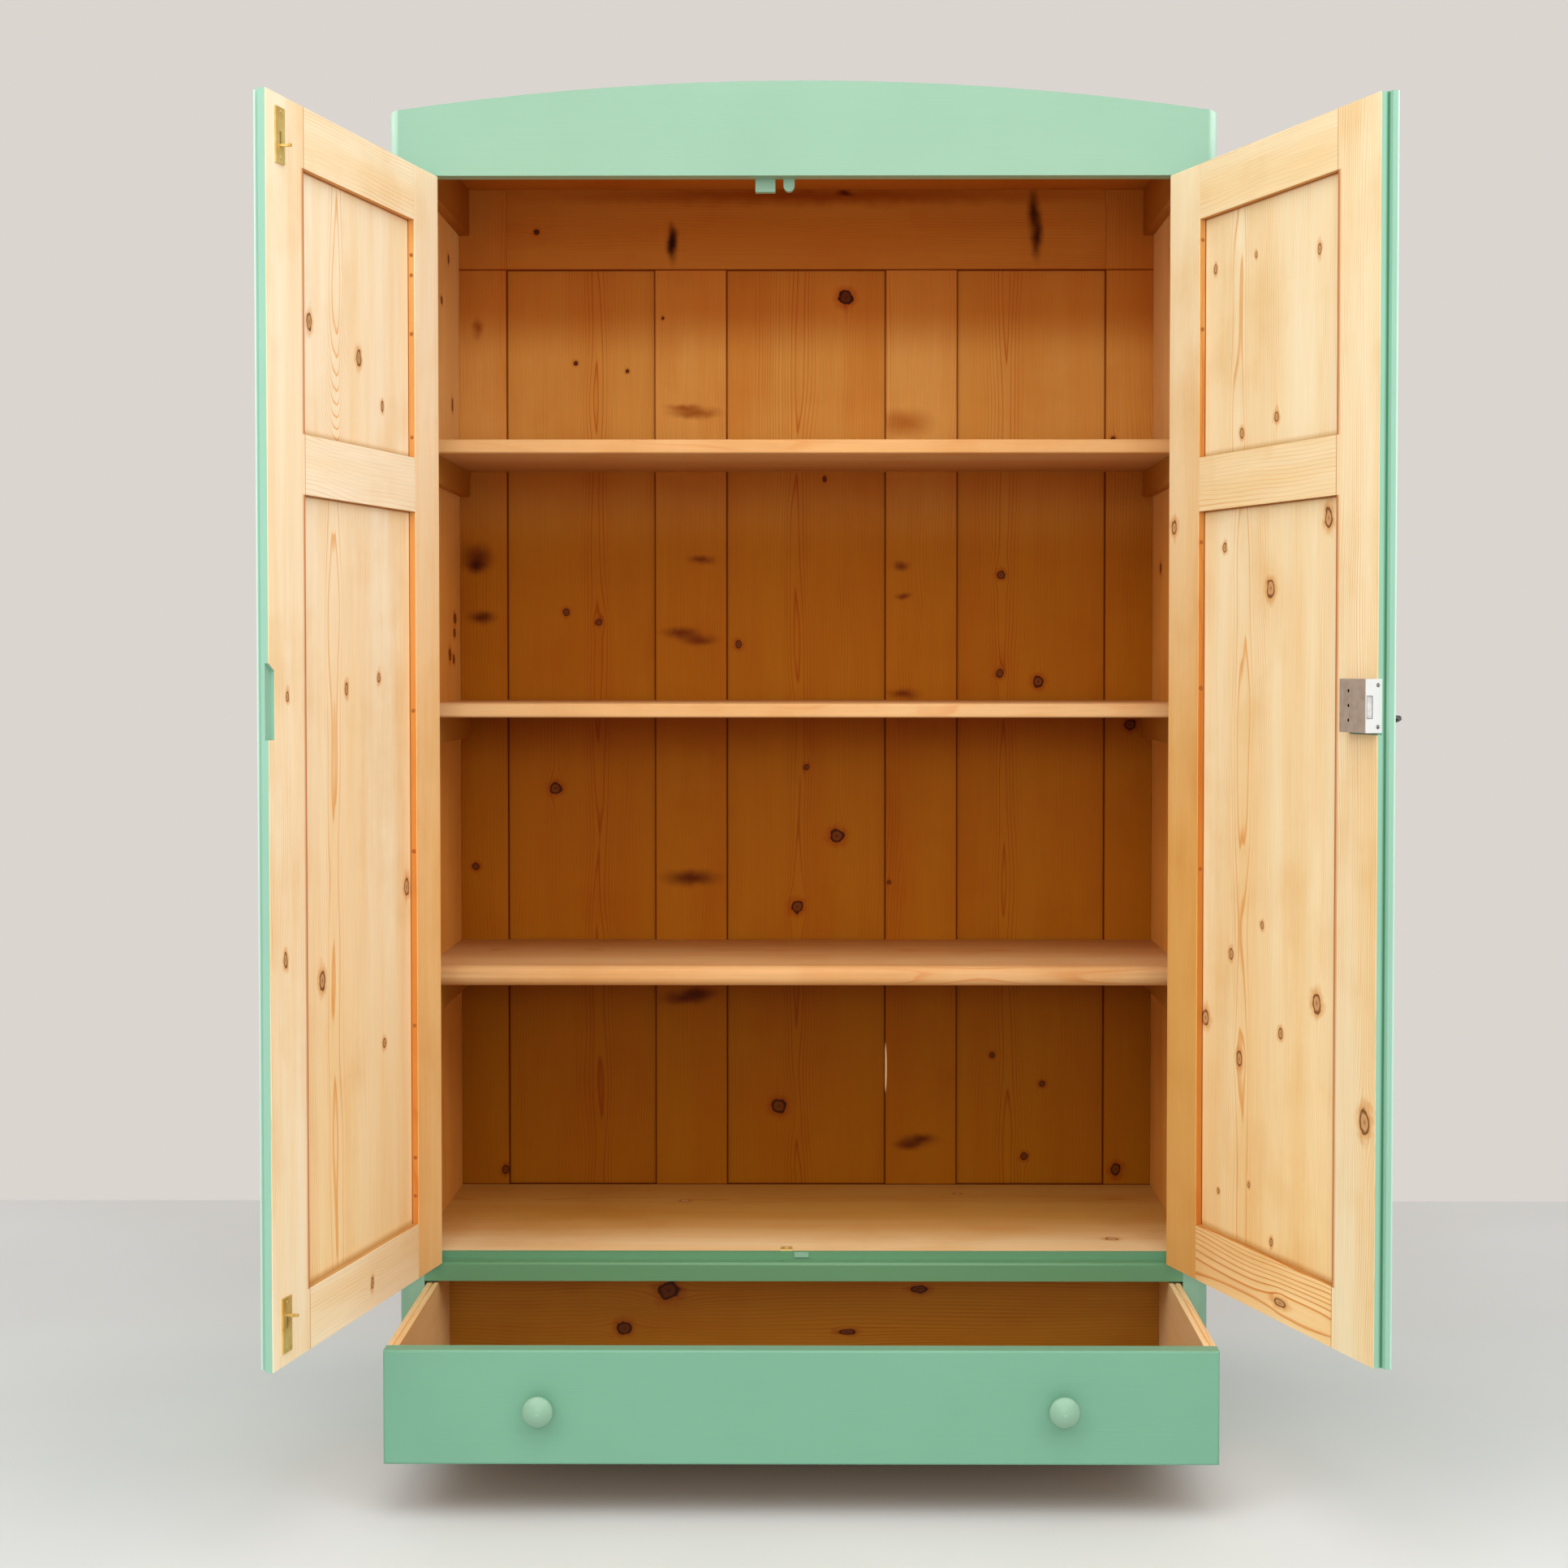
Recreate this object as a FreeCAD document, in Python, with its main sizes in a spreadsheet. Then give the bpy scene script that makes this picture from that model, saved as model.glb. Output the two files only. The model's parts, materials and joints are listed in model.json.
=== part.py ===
import FreeCAD, Part
import os
import re
import Sketcher

# A linen cupboard of painted and waxed pine: two panelled doors over three
# shelves, an arched crown board and one long drawer at the foot.
#
# Lengths are in millimetres. X runs to the right, Y into the cupboard and
# Z up. The origin lies on the floor, under the middle of the front plane.
# The doors stand open and the drawer is pulled out.

os.makedirs("parts", exist_ok=True)
doc = FreeCAD.newDocument("LinenCupboard")
sheet = doc.addObject("Spreadsheet::Sheet", "Sizes")

SIZES = {
    "carcass": {
        "outer_width": 1100,
        "interior_depth": 444,
        "side_thickness": 19,
        "top_thickness": 18,
        "post_width": 34,
        "post_depth": 34,
        "post_round": 13,
        "base_height": 72,
        "base_rail_height": 45,
        "base_rail_thickness": 24,
        "rail_front_height": 25.5,
        "rail_depth": 60,
        "rail_lip": 4,
        "rail_round": 4,
        "rail_floor_rise": 10,
        "floor_thickness": 20,
        "door_rest_depth": 22,
    },
    "crown": {
        "crown_thickness": 26,
        "crown_front_overhang": 6,
        "crown_side_overhang": 5.5,
        "crown_end_height": 87,
        "crown_rise": 39.5,
        "crown_round": 11,
        "crown_shoulder": 9,
        "crown_shoulder_fall": 4,
    },
    "top cleats": {
        "cleat_width": 16,
        "cleat_height": 70,
    },
    "shelves": {
        "shelf_setback": 115,
        "shelf_thickness": 19.5,
        "shelf_round": 3,
        "lower_shelf_thickness": 28,
        "lower_shelf_round": 12,
        "lower_shelf_level": 379.5,
        "middle_shelf_level": 748.5,
        "upper_shelf_level": 1117.5,
        "bearer_width": 16,
        "bearer_height": 38,
        "bearer_setback": 14,
    },
    "back": {
        "back_thickness": 22,
        "back_stile_width": 73,
        "back_muntin_width": 110,
        "back_muntin_place": 176.5,
        "back_top_rail_height": 122,
        "back_bottom_rail_height": 180,
        "back_panel_thickness": 8,
        "back_panel_recess": 6,
        "groove_depth": 8,
        "groove_play": 0.5,
    },
    "doors": {
        "door_height": 1464,
        "door_sill_gap": 2,
        "door_head_gap": 3,
        "door_thickness": 20,
        "hinge_gap": 3,
        "hinge_offset": 6,
        "left_door_angle": 102.7,
        "right_door_angle": 109.7,
        "hinge_stile_width": 82,
        "meeting_stile_width": 90.5,
        "door_top_rail_height": 71.5,
        "door_middle_rail_height": 70.5,
        "door_bottom_rail_height": 72.5,
        "door_upper_panel_height": 310.5,
        "door_panel_thickness": 7,
        "door_panel_recess": 9,
        "door_edge_round": 3,
        "rebate_width": 8.5,
        "rebate_depth": 9.75,
        "meeting_gap": 1,
        "rebate_play": 0.5,
    },
    "hinges": {
        "hinge_length": 72,
        "hinge_knuckle_radius": 4.5,
        "hinge_pin_radius": 2.2,
        "hinge_pin_play": 0.06,
        "hinge_leaf_thickness": 1.35,
        "hinge_leaf_start": 5,
        "hinge_leaf_width": 18,
        "hinge_knuckle_play": 0.3,
        "hinge_end_distance": 170,
        "knuckle_count": 3,
    },
    "flush bolts": {
        "bolt_plate_width": 23,
        "bolt_plate_length": 64,
        "bolt_plate_thickness": 2.2,
        "bolt_plate_end_distance": 15,
        "bolt_plate_meeting_distance": 26,
        "bolt_rod_radius": 3.5,
        "bolt_rod_play": 0.06,
        "bolt_rod_length": 68,
        "bolt_rod_depth": 9,
        "bolt_travel": 14,
        "bolt_channel_play": 0.6,
        "bolt_knob_width": 4,
        "bolt_knob_length": 3,
        "bolt_knob_height": 13,
        "bolt_knob_place": 10,
        "bolt_knob_play": 0.4,
        "bolt_end_gap": 2,
        "bolt_socket_play": 0.5,
        "bolt_socket_depth": 18,
    },
    "lock": {
        "lock_length": 56,
        "lock_height": 62,
        "lock_bottom": 978,
        "lock_projection": 15.5,
        "lock_inlet": 2,
        "lock_plate_thickness": 2,
        "lock_plate_lap": 6,
        "lock_wall": 1.6,
        "lock_inlet_play": 2.5,
        "lock_bolt_height": 25,
        "lock_bolt_thickness": 6.6,
        "lock_bolt_length": 23,
        "lock_bolt_level": 17,
        "lock_bolt_play": 0.2,
        "lock_bolt_inset": 0.4,
        "key_place": 37,
        "key_level": 14,
        "key_shank_radius": 2.8,
        "keyhole_play": 0.6,
        "keyhole_slot_width": 4.4,
        "keyhole_slot_height": 12,
        "key_bit_thickness": 2.6,
        "key_bit_reach": 9,
        "key_bit_depth": 7,
        "key_bit_clearance": 3,
        "key_neck": 12,
        "key_bow_radius": 11.5,
        "key_bow_bore_radius": 7.5,
        "key_bow_thickness": 3,
        "key_turn": 20,
        "lock_hole_count": 3,
        "lock_hole_radius": 2.1,
        "lock_hole_spacing": 17,
        "lock_relief_width": 15,
        "lock_relief_depth": 5,
        "lock_relief_height": 88,
        "lock_relief_drop": 8,
        "lock_relief_slope": 9,
    },
    "stops": {
        "stop_block_width": 27,
        "stop_block_place": 51.5,
        "stop_block_drop": 17,
        "stop_block_height": 52,
        "stop_thickness": 12,
        "peg_width": 15,
        "peg_place": 19.5,
        "peg_drop": 16,
        "catch_plate_size": 15.5,
        "catch_plate_place": 23.5,
        "catch_plate_thickness": 1.5,
        "catch_plate_setback": 2,
        "catch_hole_radius": 3.6,
        "sill_block_width": 20,
        "sill_block_place": 3,
        "sill_block_height": 7,
        "sill_block_thickness": 1.8,
    },
    "drawer": {
        "drawer_front_height": 141.5,
        "drawer_front_thickness": 24,
        "drawer_front_round": 3,
        "drawer_head_gap": 3,
        "drawer_foot_gap": 0.5,
        "drawer_side_gap": 2,
        "drawer_side_inset": 1,
        "drawer_side_thickness": 15.5,
        "drawer_scratch_width": 2,
        "drawer_scratch_depth": 2,
        "drawer_scratch_place": 9,
        "drawer_length": 434,
        "drawer_back_thickness": 15,
        "drawer_bottom_thickness": 8,
        "drawer_bottom_level": 8,
        "drawer_bottom_lap": 6,
        "drawer_extension": 320,
        "runner_height": 20,
        "runner_guide_height": 34,
        "runner_play": 2,
        "knob_spacing": 644,
        "knob_radius": 19,
        "knob_rim_height": 7,
        "knob_rim_round": 4,
        "knob_dome_height": 6,
        "knob_neck_radius": 10,
        "knob_waist_radius": 8,
        "knob_waist_place": 9,
        "knob_projection": 27,
    },
}
CUT_OVERRUN = 2
SAME_PLACE = 0.05
FULL_TURN = 360


def fill_sheet():
    row = 1
    for group, values in SIZES.items():
        sheet.set("A%d" % row, group)
        row += 1
        for alias, amount in values.items():
            sheet.set("A%d" % row, alias)
            sheet.set("B%d" % row, str(amount))
            sheet.setAlias("B%d" % row, alias)
            row += 1
    sheet.set("A%d" % row, "cut_overrun")
    sheet.set("B%d" % row, str(CUT_OVERRUN))
    sheet.setAlias("B%d" % row, "cut_overrun")
    doc.recompute()


# Levels and places that follow from the driving sizes, written in their names.
DERIVED = {
    "half_width": "outer_width / 2",
    "half_opening": "half_width - post_width",
    "half_interior": "half_width - side_thickness",
    "carcass_depth": "interior_depth + back_thickness",
    "drawer_foot": "base_height + drawer_foot_gap",
    "drawer_head": "drawer_foot + drawer_front_height",
    "rail_bottom": "drawer_head + drawer_head_gap",
    "sill": "rail_bottom + rail_front_height",
    "floor_top": "sill + rail_floor_rise",
    "floor_bottom": "floor_top - floor_thickness",
    "door_foot": "sill + door_sill_gap",
    "door_head": "door_foot + door_height",
    "crown_bottom": "door_head + door_head_gap",
    "crown_back": "crown_thickness - crown_front_overhang",
    "carcass_top": "crown_bottom + crown_end_height",
    "ceiling": "carcass_top - top_thickness",
    "hinge_x": "half_opening - hinge_gap / 2",
    "hinge_y": "0 - hinge_offset",
    "door_outer_face": "hinge_offset",
    "door_inner_face": "hinge_offset + door_thickness",
    "door_start": "hinge_gap / 2",
    "rebate_near": "hinge_x - (rebate_width + meeting_gap) / 2",
    "rebate_far": "hinge_x + (rebate_width - meeting_gap) / 2",
    "panel_start": "door_start + hinge_stile_width",
    "panel_end": "rebate_near - meeting_stile_width",
    "top_rail_foot": "door_head - door_top_rail_height",
    "middle_rail_head": "top_rail_foot - door_upper_panel_height",
    "middle_rail_foot": "middle_rail_head - door_middle_rail_height",
    "bottom_rail_head": "door_foot + door_bottom_rail_height",
    "door_panel_back": "door_inner_face - door_panel_recess",
    "door_panel_front": "door_panel_back - door_panel_thickness",
    "back_foot": "floor_top - back_bottom_rail_height",
    "back_rail_foot": "ceiling - back_top_rail_height",
    "back_panel_front": "interior_depth + back_panel_recess",
    "back_panel_back": "back_panel_front + back_panel_thickness",
    "back_stile_x": "half_interior - back_stile_width",
    "muntin_in": "back_muntin_place - back_muntin_width / 2",
    "muntin_out": "back_muntin_place + back_muntin_width / 2",
    "drawer_half": "half_opening - drawer_side_gap",
    "drawer_side_x": "drawer_half - drawer_side_inset",
    "drawer_inner_x": "drawer_side_x - drawer_side_thickness",
    "drawer_face": "0 - drawer_extension",
    "lock_case_start": "rebate_near - lock_plate_thickness",
    "key_x": "rebate_near - key_place",
    "key_z": "lock_bottom + key_level",
    "lock_face": "door_inner_face + lock_projection",
    "rod_x": "rebate_near - bolt_plate_meeting_distance",
    "rod_y": "door_inner_face - bolt_rod_depth",
}
FUNCTIONS = {"cos", "sin", "sqrt", "min", "max"}
WORD = re.compile(r"[a-z_]+")


def spelled(text):
    """Spell a formula out in the sheet's own names."""
    def swap(match):
        word = match.group(0)
        if word in FUNCTIONS:
            return word
        if word in DERIVED:
            return "(" + spelled(DERIVED[word]) + ")"
        return "Sizes." + word
    return WORD.sub(swap, text)


def amount(text):
    """The present value of a formula."""
    return float(sheet.evalExpression(spelled(text)))


def bind(thing, prop, text):
    thing.setExpression(prop, spelled(text))


PLANES = {
    "XY": ("XY_Plane", "", False),
    "XZ": ("XZ_Plane", "0 - ", True),
    "YZ": ("YZ_Plane", "", False),
}


def new_body(label):
    body = doc.addObject("PartDesign::Body", label)
    body.Label = label
    return body


def origin_plane(body, plane):
    role = PLANES[plane][0]
    for feature in body.Origin.OriginFeatures:
        if feature.Role == role:
            return feature
    raise ValueError(role)


def new_sketch(body, plane, start):
    sketch = body.newObject("Sketcher::SketchObject", body.Label + "_sketch")
    sketch.AttachmentSupport = [(origin_plane(body, plane), "")]
    sketch.MapMode = "FlatFace"
    bind(sketch, "AttachmentOffset.Base.z", "%s(%s)" % (PLANES[plane][1], start))
    return sketch


def pin_point(sketch, geometry, position, place):
    """Tie one point of the sketch to a pair of formulas."""
    for kind, text in zip(("DistanceX", "DistanceY"), place):
        index = sketch.addConstraint(Sketcher.Constraint(kind, -1, 1, geometry, position, amount(text)))
        bind(sketch, "Constraints[%d]" % index, text)


def draw_outline(sketch, points, bends=()):
    """Draw a closed outline, anticlockwise, whose corners are pairs of formulas.

    A bend makes an arc of one edge: it gives the edge's number, its radius and
    a place that the arc passes through.
    """
    places = [FreeCAD.Vector(amount(across), amount(up), 0) for across, up in points]
    first = sketch.GeometryCount
    count = len(places)
    middles = {number: through for number, radius, through in bends}
    for index in range(count):
        begin = places[index]
        end = places[(index + 1) % count]
        if index in middles:
            across, up = middles[index]
            edge = Part.Arc(begin, FreeCAD.Vector(amount(across), amount(up), 0), end)
        else:
            edge = Part.LineSegment(begin, end)
        sketch.addGeometry(edge, False)
    for index in range(count):
        following = first + (index + 1) % count
        sketch.addConstraint(Sketcher.Constraint("Coincident", first + index, 2, following, 1))
    for index in range(count):
        pin_point(sketch, first + index, 1, points[index])
    for number, radius, through in bends:
        set_radius(sketch, first + number, radius)


def set_radius(sketch, index, radius):
    constraint = sketch.addConstraint(Sketcher.Constraint("Radius", index, amount(radius)))
    bind(sketch, "Constraints[%d]" % constraint, radius)


def draw_circle(sketch, centre, radius):
    place = FreeCAD.Vector(amount(centre[0]), amount(centre[1]), 0)
    circle = Part.Circle(place, FreeCAD.Vector(0, 0, 1), amount(radius))
    index = sketch.addGeometry(circle, False)
    pin_point(sketch, index, 3, centre)
    set_radius(sketch, index, radius)


def rectangle(across_from, across_to, up_from, up_to):
    return [(across_from, up_from), (across_to, up_from), (across_to, up_to), (across_from, up_to)]


def pad(body, sketch, plane, length):
    feature = body.newObject("PartDesign::Pad", body.Label + "_pad")
    feature.Profile = sketch
    feature.Reversed = PLANES[plane][2]
    bind(feature, "Length", length)
    sketch.Visibility = False
    body.Tip = feature
    return feature


def pocket(body, sketch, plane, length):
    feature = body.newObject("PartDesign::Pocket", body.Label + "_pocket")
    feature.Profile = sketch
    feature.Reversed = not PLANES[plane][2]
    bind(feature, "Length", length)
    sketch.Visibility = False
    body.Tip = feature
    return feature


def add_polygon(body, plane, start, length, points):
    sketch = new_sketch(body, plane, start)
    draw_outline(sketch, points)
    return pad(body, sketch, plane, length)


def cut_polygon(body, plane, start, length, points):
    sketch = new_sketch(body, plane, start)
    draw_outline(sketch, points)
    return pocket(body, sketch, plane, length)


def add_circle(body, plane, start, length, centre, radius):
    sketch = new_sketch(body, plane, start)
    draw_circle(sketch, centre, radius)
    return pad(body, sketch, plane, length)


def cut_circle(body, plane, start, length, centre, radius):
    sketch = new_sketch(body, plane, start)
    draw_circle(sketch, centre, radius)
    return pocket(body, sketch, plane, length)


def near(first, second):
    return abs(first - second) < SAME_PLACE


def runs_along(begin, end, across, forward):
    """Whether an upright edge stands at this place."""
    return (near(begin.x, across) and near(end.x, across)
            and near(begin.y, forward) and near(end.y, forward))


def round_edges(body, radius, wanted):
    """Round the straight edges that the test picks."""
    doc.recompute()
    shape = body.Tip.Shape
    names = []
    for index, edge in enumerate(shape.Edges):
        if len(edge.Vertexes) != 2:
            continue
        begin = edge.Vertexes[0].Point
        end = edge.Vertexes[1].Point
        if wanted(begin, end):
            names.append("Edge%d" % (index + 1))
    base = body.Tip
    feature = body.newObject("PartDesign::Fillet", body.Label + "_round")
    feature.Base = (base, names)
    bind(feature, "Radius", radius)
    body.Tip = feature
    return feature


def place(thing, x, y, z):
    bind(thing, "Placement.Base.x", x)
    bind(thing, "Placement.Base.y", y)
    bind(thing, "Placement.Base.z", z)


def board(label, length, depth, height, x, y, z):
    """A plain squared board with its lowest corner at x, y, z."""
    body = new_body(label)
    add_polygon(body, "XY", "0", height, rectangle("0", length, "0", depth))
    place(body, x, y, z)
    return body


SUB_PARTS = []


def keep(thing):
    SUB_PARTS.append(thing)
    return thing


def gather(label, pieces):
    """Put pieces together under one name."""
    compound = doc.addObject("Part::Compound", label)
    compound.Label = label
    compound.Links = pieces
    return compound


SIDES = {"left": "0 - ", "right": ""}


def mirrored(side, text):
    """A place across the cupboard, on its left or right side."""
    return "%s(%s)" % (SIDES[side], text)


# Carcass

def make_post(side):
    body = new_body("front_post_" + side)
    outer = mirrored(side, "half_width")
    inner = mirrored(side, "half_opening")
    add_polygon(body, "XY", "0", "crown_bottom", rectangle(inner, outer, "0", "post_depth"))
    corner = amount(outer)
    round_edges(body, "post_round", lambda begin, end: runs_along(begin, end, corner, 0))
    keep(body)


def make_side_board(side):
    body = new_body("side_board_" + side)
    outline = [("post_depth", "0"), ("carcass_depth", "0"), ("carcass_depth", "carcass_top"),
               ("crown_back", "carcass_top"), ("crown_back", "crown_bottom"), ("post_depth", "crown_bottom")]
    start = "half_interior" if side == "right" else "0 - half_width"
    add_polygon(body, "YZ", start, "side_thickness", outline)
    keep(body)


def make_crown_board():
    """The arched board over the doors, with short falling shoulders at both ends."""
    body = new_body("crown_board")
    sketch = new_sketch(body, "XZ", "0 - crown_front_overhang")
    half = "half_width + crown_side_overhang"
    inner = half + " - crown_shoulder"
    low = "carcass_top - crown_shoulder_fall"
    corners = [("0 - (%s)" % half, low), ("0 - (%s)" % half, "crown_bottom"), (half, "crown_bottom"),
               (half, low), (inner, "carcass_top"), ("0 - (%s)" % inner, "carcass_top")]
    radius = "((%s) * (%s) + crown_rise * crown_rise) / (2 * crown_rise)" % (inner, inner)
    arch = corners.index((inner, "carcass_top"))
    draw_outline(sketch, corners, [(arch, radius, ("0", "carcass_top + crown_rise"))])
    pad(body, sketch, "XZ", "crown_thickness")
    edge = amount(half)
    front = amount("0 - crown_front_overhang")
    round_edges(body, "crown_round",
                lambda begin, end: runs_along(begin, end, edge, front)
                or runs_along(begin, end, -edge, front))
    cut_circle(body, "XY", "crown_bottom - cut_overrun", "bolt_socket_depth + cut_overrun",
               ("rod_x - hinge_x", "rod_y + hinge_y"), "bolt_rod_radius + bolt_socket_play")
    keep(body)


def make_top():
    depth = "carcass_depth - crown_back"
    keep(board("top_board", "2 * half_interior", depth, "top_thickness",
               "0 - half_interior", "crown_back", "ceiling"))
    for side in SIDES:
        x = "half_interior - cleat_width" if side == "right" else "0 - half_interior"
        keep(board("top_cleat_" + side, "cleat_width", "interior_depth - post_depth", "cleat_height",
                   x, "post_depth", "ceiling - cleat_height"))


def make_drawer_rail():
    """The stepped rail: its ledge lies under the doors and its lip stops them."""
    body = new_body("drawer_rail")
    lip = "door_rest_depth + rail_lip"
    outline = [("0", "rail_bottom"), ("rail_depth", "rail_bottom"), ("rail_depth", "floor_bottom"),
               (lip, "floor_bottom"), (lip, "floor_top"), ("door_rest_depth", "floor_top"),
               ("door_rest_depth", "sill"), ("0", "sill")]
    add_polygon(body, "YZ", "0 - half_opening", "2 * half_opening", outline)
    level = amount("sill")
    round_edges(body, "rail_round",
                lambda begin, end: near(begin.y, 0) and near(end.y, 0)
                and near(begin.z, level) and near(end.z, level))
    cut_circle(body, "XY", "sill - bolt_socket_depth", "bolt_socket_depth + cut_overrun",
               ("rod_x - hinge_x", "rod_y + hinge_y"), "bolt_rod_radius + bolt_socket_play")
    keep(body)


def make_floor_board():
    """The floor of the cupboard, notched round the two front posts."""
    body = new_body("floor_board")
    front = "door_rest_depth + rail_lip"
    outline = [("0 - half_opening", front), ("half_opening", front), ("half_opening", "post_depth"),
               ("half_interior", "post_depth"), ("half_interior", "interior_depth"),
               ("0 - half_interior", "interior_depth"), ("0 - half_interior", "post_depth"),
               ("0 - half_opening", "post_depth")]
    add_polygon(body, "XY", "floor_bottom", "floor_thickness", outline)
    keep(body)


def make_base_rail():
    keep(board("base_rail", "2 * half_opening", "base_rail_thickness", "base_rail_height",
               "0 - half_opening", "0", "base_height - base_rail_height"))


def make_runners():
    """Guides that carry the drawer, and the two strips over it that keep it from tipping."""
    pieces = []
    inner = "drawer_inner_x"
    guide = "drawer_side_x + runner_play"
    for side in SIDES:
        body = new_body("drawer_runner_" + side)
        outline = [(inner, "base_height - runner_height"), ("half_interior", "base_height - runner_height"),
                   ("half_interior", "base_height + runner_guide_height"),
                   (guide, "base_height + runner_guide_height"), (guide, "base_height"),
                   (inner, "base_height")]
        points = [(mirrored(side, across), up) for across, up in outline]
        add_polygon(body, "XZ", "post_depth", "interior_depth - post_depth", points)
        pieces.append(body)
        x = inner if side == "right" else "0 - half_interior"
        strip = board("drawer_kicker_" + side, "half_interior - (%s)" % inner, "interior_depth - rail_depth",
                      "floor_bottom - rail_bottom", x, "rail_depth", "rail_bottom")
        pieces.append(strip)
    keep(gather("drawer_runners", pieces))


# Shelves

def make_shelf(label, thickness, rounding, level):
    body = new_body(label)
    outline = rectangle("shelf_setback", "interior_depth", "floor_top + %s - %s" % (level, thickness),
                        "floor_top + %s" % level)
    add_polygon(body, "YZ", "0 - half_interior", "2 * half_interior", outline)
    front = amount("shelf_setback")
    round_edges(body, rounding,
                lambda begin, end: near(begin.y, front) and near(end.y, front) and near(begin.z, end.z))
    keep(body)


def make_shelves():
    levels = {"upper": "shelf_thickness", "middle": "shelf_thickness", "lower": "lower_shelf_thickness"}
    bearers = []
    for name, thickness in levels.items():
        rounding = "lower_shelf_round" if name == "lower" else "shelf_round"
        level = name + "_shelf_level"
        make_shelf("shelf_" + name, thickness, rounding, level)
        for side in SIDES:
            x = "half_interior - bearer_width" if side == "right" else "0 - half_interior"
            bearers.append(board("bearer_%s_%s" % (name, side), "bearer_width",
                                 "interior_depth - shelf_setback - bearer_setback", "bearer_height",
                                 x, "shelf_setback + bearer_setback",
                                 "floor_top + %s - %s - bearer_height" % (level, thickness)))
    keep(gather("shelf_bearers", bearers))


# Back

def grooved_upright(label, x_from, x_to, grooves, foot, head):
    """An upright of the back frame with a groove for a panel on the named edges."""
    body = new_body(label)
    points = [(x_from, "interior_depth"), (x_to, "interior_depth")]
    if "right" in grooves:
        points += [(x_to, "back_panel_front"), (x_to + " - groove_depth", "back_panel_front"),
                   (x_to + " - groove_depth", "back_panel_back"), (x_to, "back_panel_back")]
    points += [(x_to, "carcass_depth"), (x_from, "carcass_depth")]
    if "left" in grooves:
        points += [(x_from, "back_panel_back"), (x_from + " + groove_depth", "back_panel_back"),
                   (x_from + " + groove_depth", "back_panel_front"), (x_from, "back_panel_front")]
    add_polygon(body, "XY", foot, "%s - (%s)" % (head, foot), points)
    keep(body)


def back_rail(label, foot, head, groove_level, inward):
    """A rail of the back frame, grooved along the edge that faces the panels."""
    body = new_body(label)
    edge = groove_level
    depth = "%s groove_depth" % inward
    if inward == "+":
        points = [("interior_depth", edge), ("back_panel_front", edge),
                  ("back_panel_front", edge + depth), ("back_panel_back", edge + depth),
                  ("back_panel_back", edge), ("carcass_depth", edge), ("carcass_depth", head),
                  ("interior_depth", head)]
    else:
        points = [("interior_depth", foot), ("carcass_depth", foot), ("carcass_depth", edge),
                  ("back_panel_back", edge), ("back_panel_back", edge + depth),
                  ("back_panel_front", edge + depth), ("back_panel_front", edge), ("interior_depth", edge)]
    add_polygon(body, "YZ", "0 - back_stile_x", "2 * back_stile_x", points)
    tenon = rectangle("back_panel_front", "back_panel_back", foot + " + groove_depth",
                      head + " - groove_depth")
    add_polygon(body, "YZ", "0 - back_stile_x - groove_depth + groove_play",
                "2 * (back_stile_x + groove_depth - groove_play)", tenon)
    keep(body)


def make_back():
    grooved_upright("back_stile_left", "0 - half_interior", "0 - back_stile_x", ("right",),
                    "back_foot", "ceiling")
    grooved_upright("back_stile_right", "back_stile_x", "half_interior", ("left",),
                    "back_foot", "ceiling")
    back_rail("back_top_rail", "back_rail_foot", "ceiling", "back_rail_foot", "+")
    back_rail("back_bottom_rail", "back_foot", "floor_top", "floor_top", "-")
    grooved_upright("back_muntin_left", "0 - muntin_out", "0 - muntin_in", ("left", "right"),
                    "floor_top", "back_rail_foot")
    grooved_upright("back_muntin_right", "muntin_in", "muntin_out", ("left", "right"),
                    "floor_top", "back_rail_foot")
    edges = {"left": ("0 - back_stile_x", "0 - muntin_out"), "middle": ("0 - muntin_in", "muntin_in"),
             "right": ("muntin_out", "back_stile_x")}
    for name, (x_from, x_to) in edges.items():
        lap = "groove_depth - groove_play"
        outline = rectangle("%s - (%s)" % (x_from, lap), "%s + %s" % (x_to, lap),
                            "floor_top - (%s)" % lap, "back_rail_foot + " + lap)
        body = new_body("back_panel_" + name)
        add_polygon(body, "XZ", "back_panel_front", "back_panel_thickness", outline)
        keep(body)


# Stops and catches

def make_stops():
    """Painted blocks that the doors meet, and the small pad on the lip of the rail."""
    block = board("crown_stop_block", "stop_block_width", "stop_thickness", "stop_block_height",
                  "0 - stop_block_place - stop_block_width / 2", "crown_back",
                  "crown_bottom - stop_block_drop")
    pad_block = board("sill_stop_block", "sill_block_width", "sill_block_thickness", "sill_block_height",
                      "0 - sill_block_place - sill_block_width / 2",
                      "door_rest_depth - sill_block_thickness", "sill + door_sill_gap")
    keep(gather("door_stop_blocks", [block, pad_block]))


def make_peg():
    """A short upright peg with a round lower end, beside the stop block."""
    body = new_body("crown_peg")
    radius = "peg_width / 2"
    foot = "crown_bottom - peg_drop"
    x_from = "0 - peg_place - " + radius
    x_to = "0 - peg_place + " + radius
    add_polygon(body, "XZ", "crown_back", "stop_thickness",
                rectangle(x_from, x_to, foot + " + " + radius, foot + " + stop_block_height"))
    add_circle(body, "XZ", "crown_back", "stop_thickness",
               ("0 - peg_place", foot + " + " + radius), radius)
    keep(body)


def make_catch_plate():
    body = board("floor_catch_plate", "catch_plate_size", "catch_plate_size", "catch_plate_thickness",
                 "0 - catch_plate_place - catch_plate_size / 2",
                 "door_rest_depth + rail_lip + catch_plate_setback", "floor_top")
    cut_circle(body, "XY", "0 - cut_overrun", "catch_plate_thickness + 2 * cut_overrun",
               ("catch_plate_size / 2", "catch_plate_size / 2"), "catch_hole_radius")
    keep(body)


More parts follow.
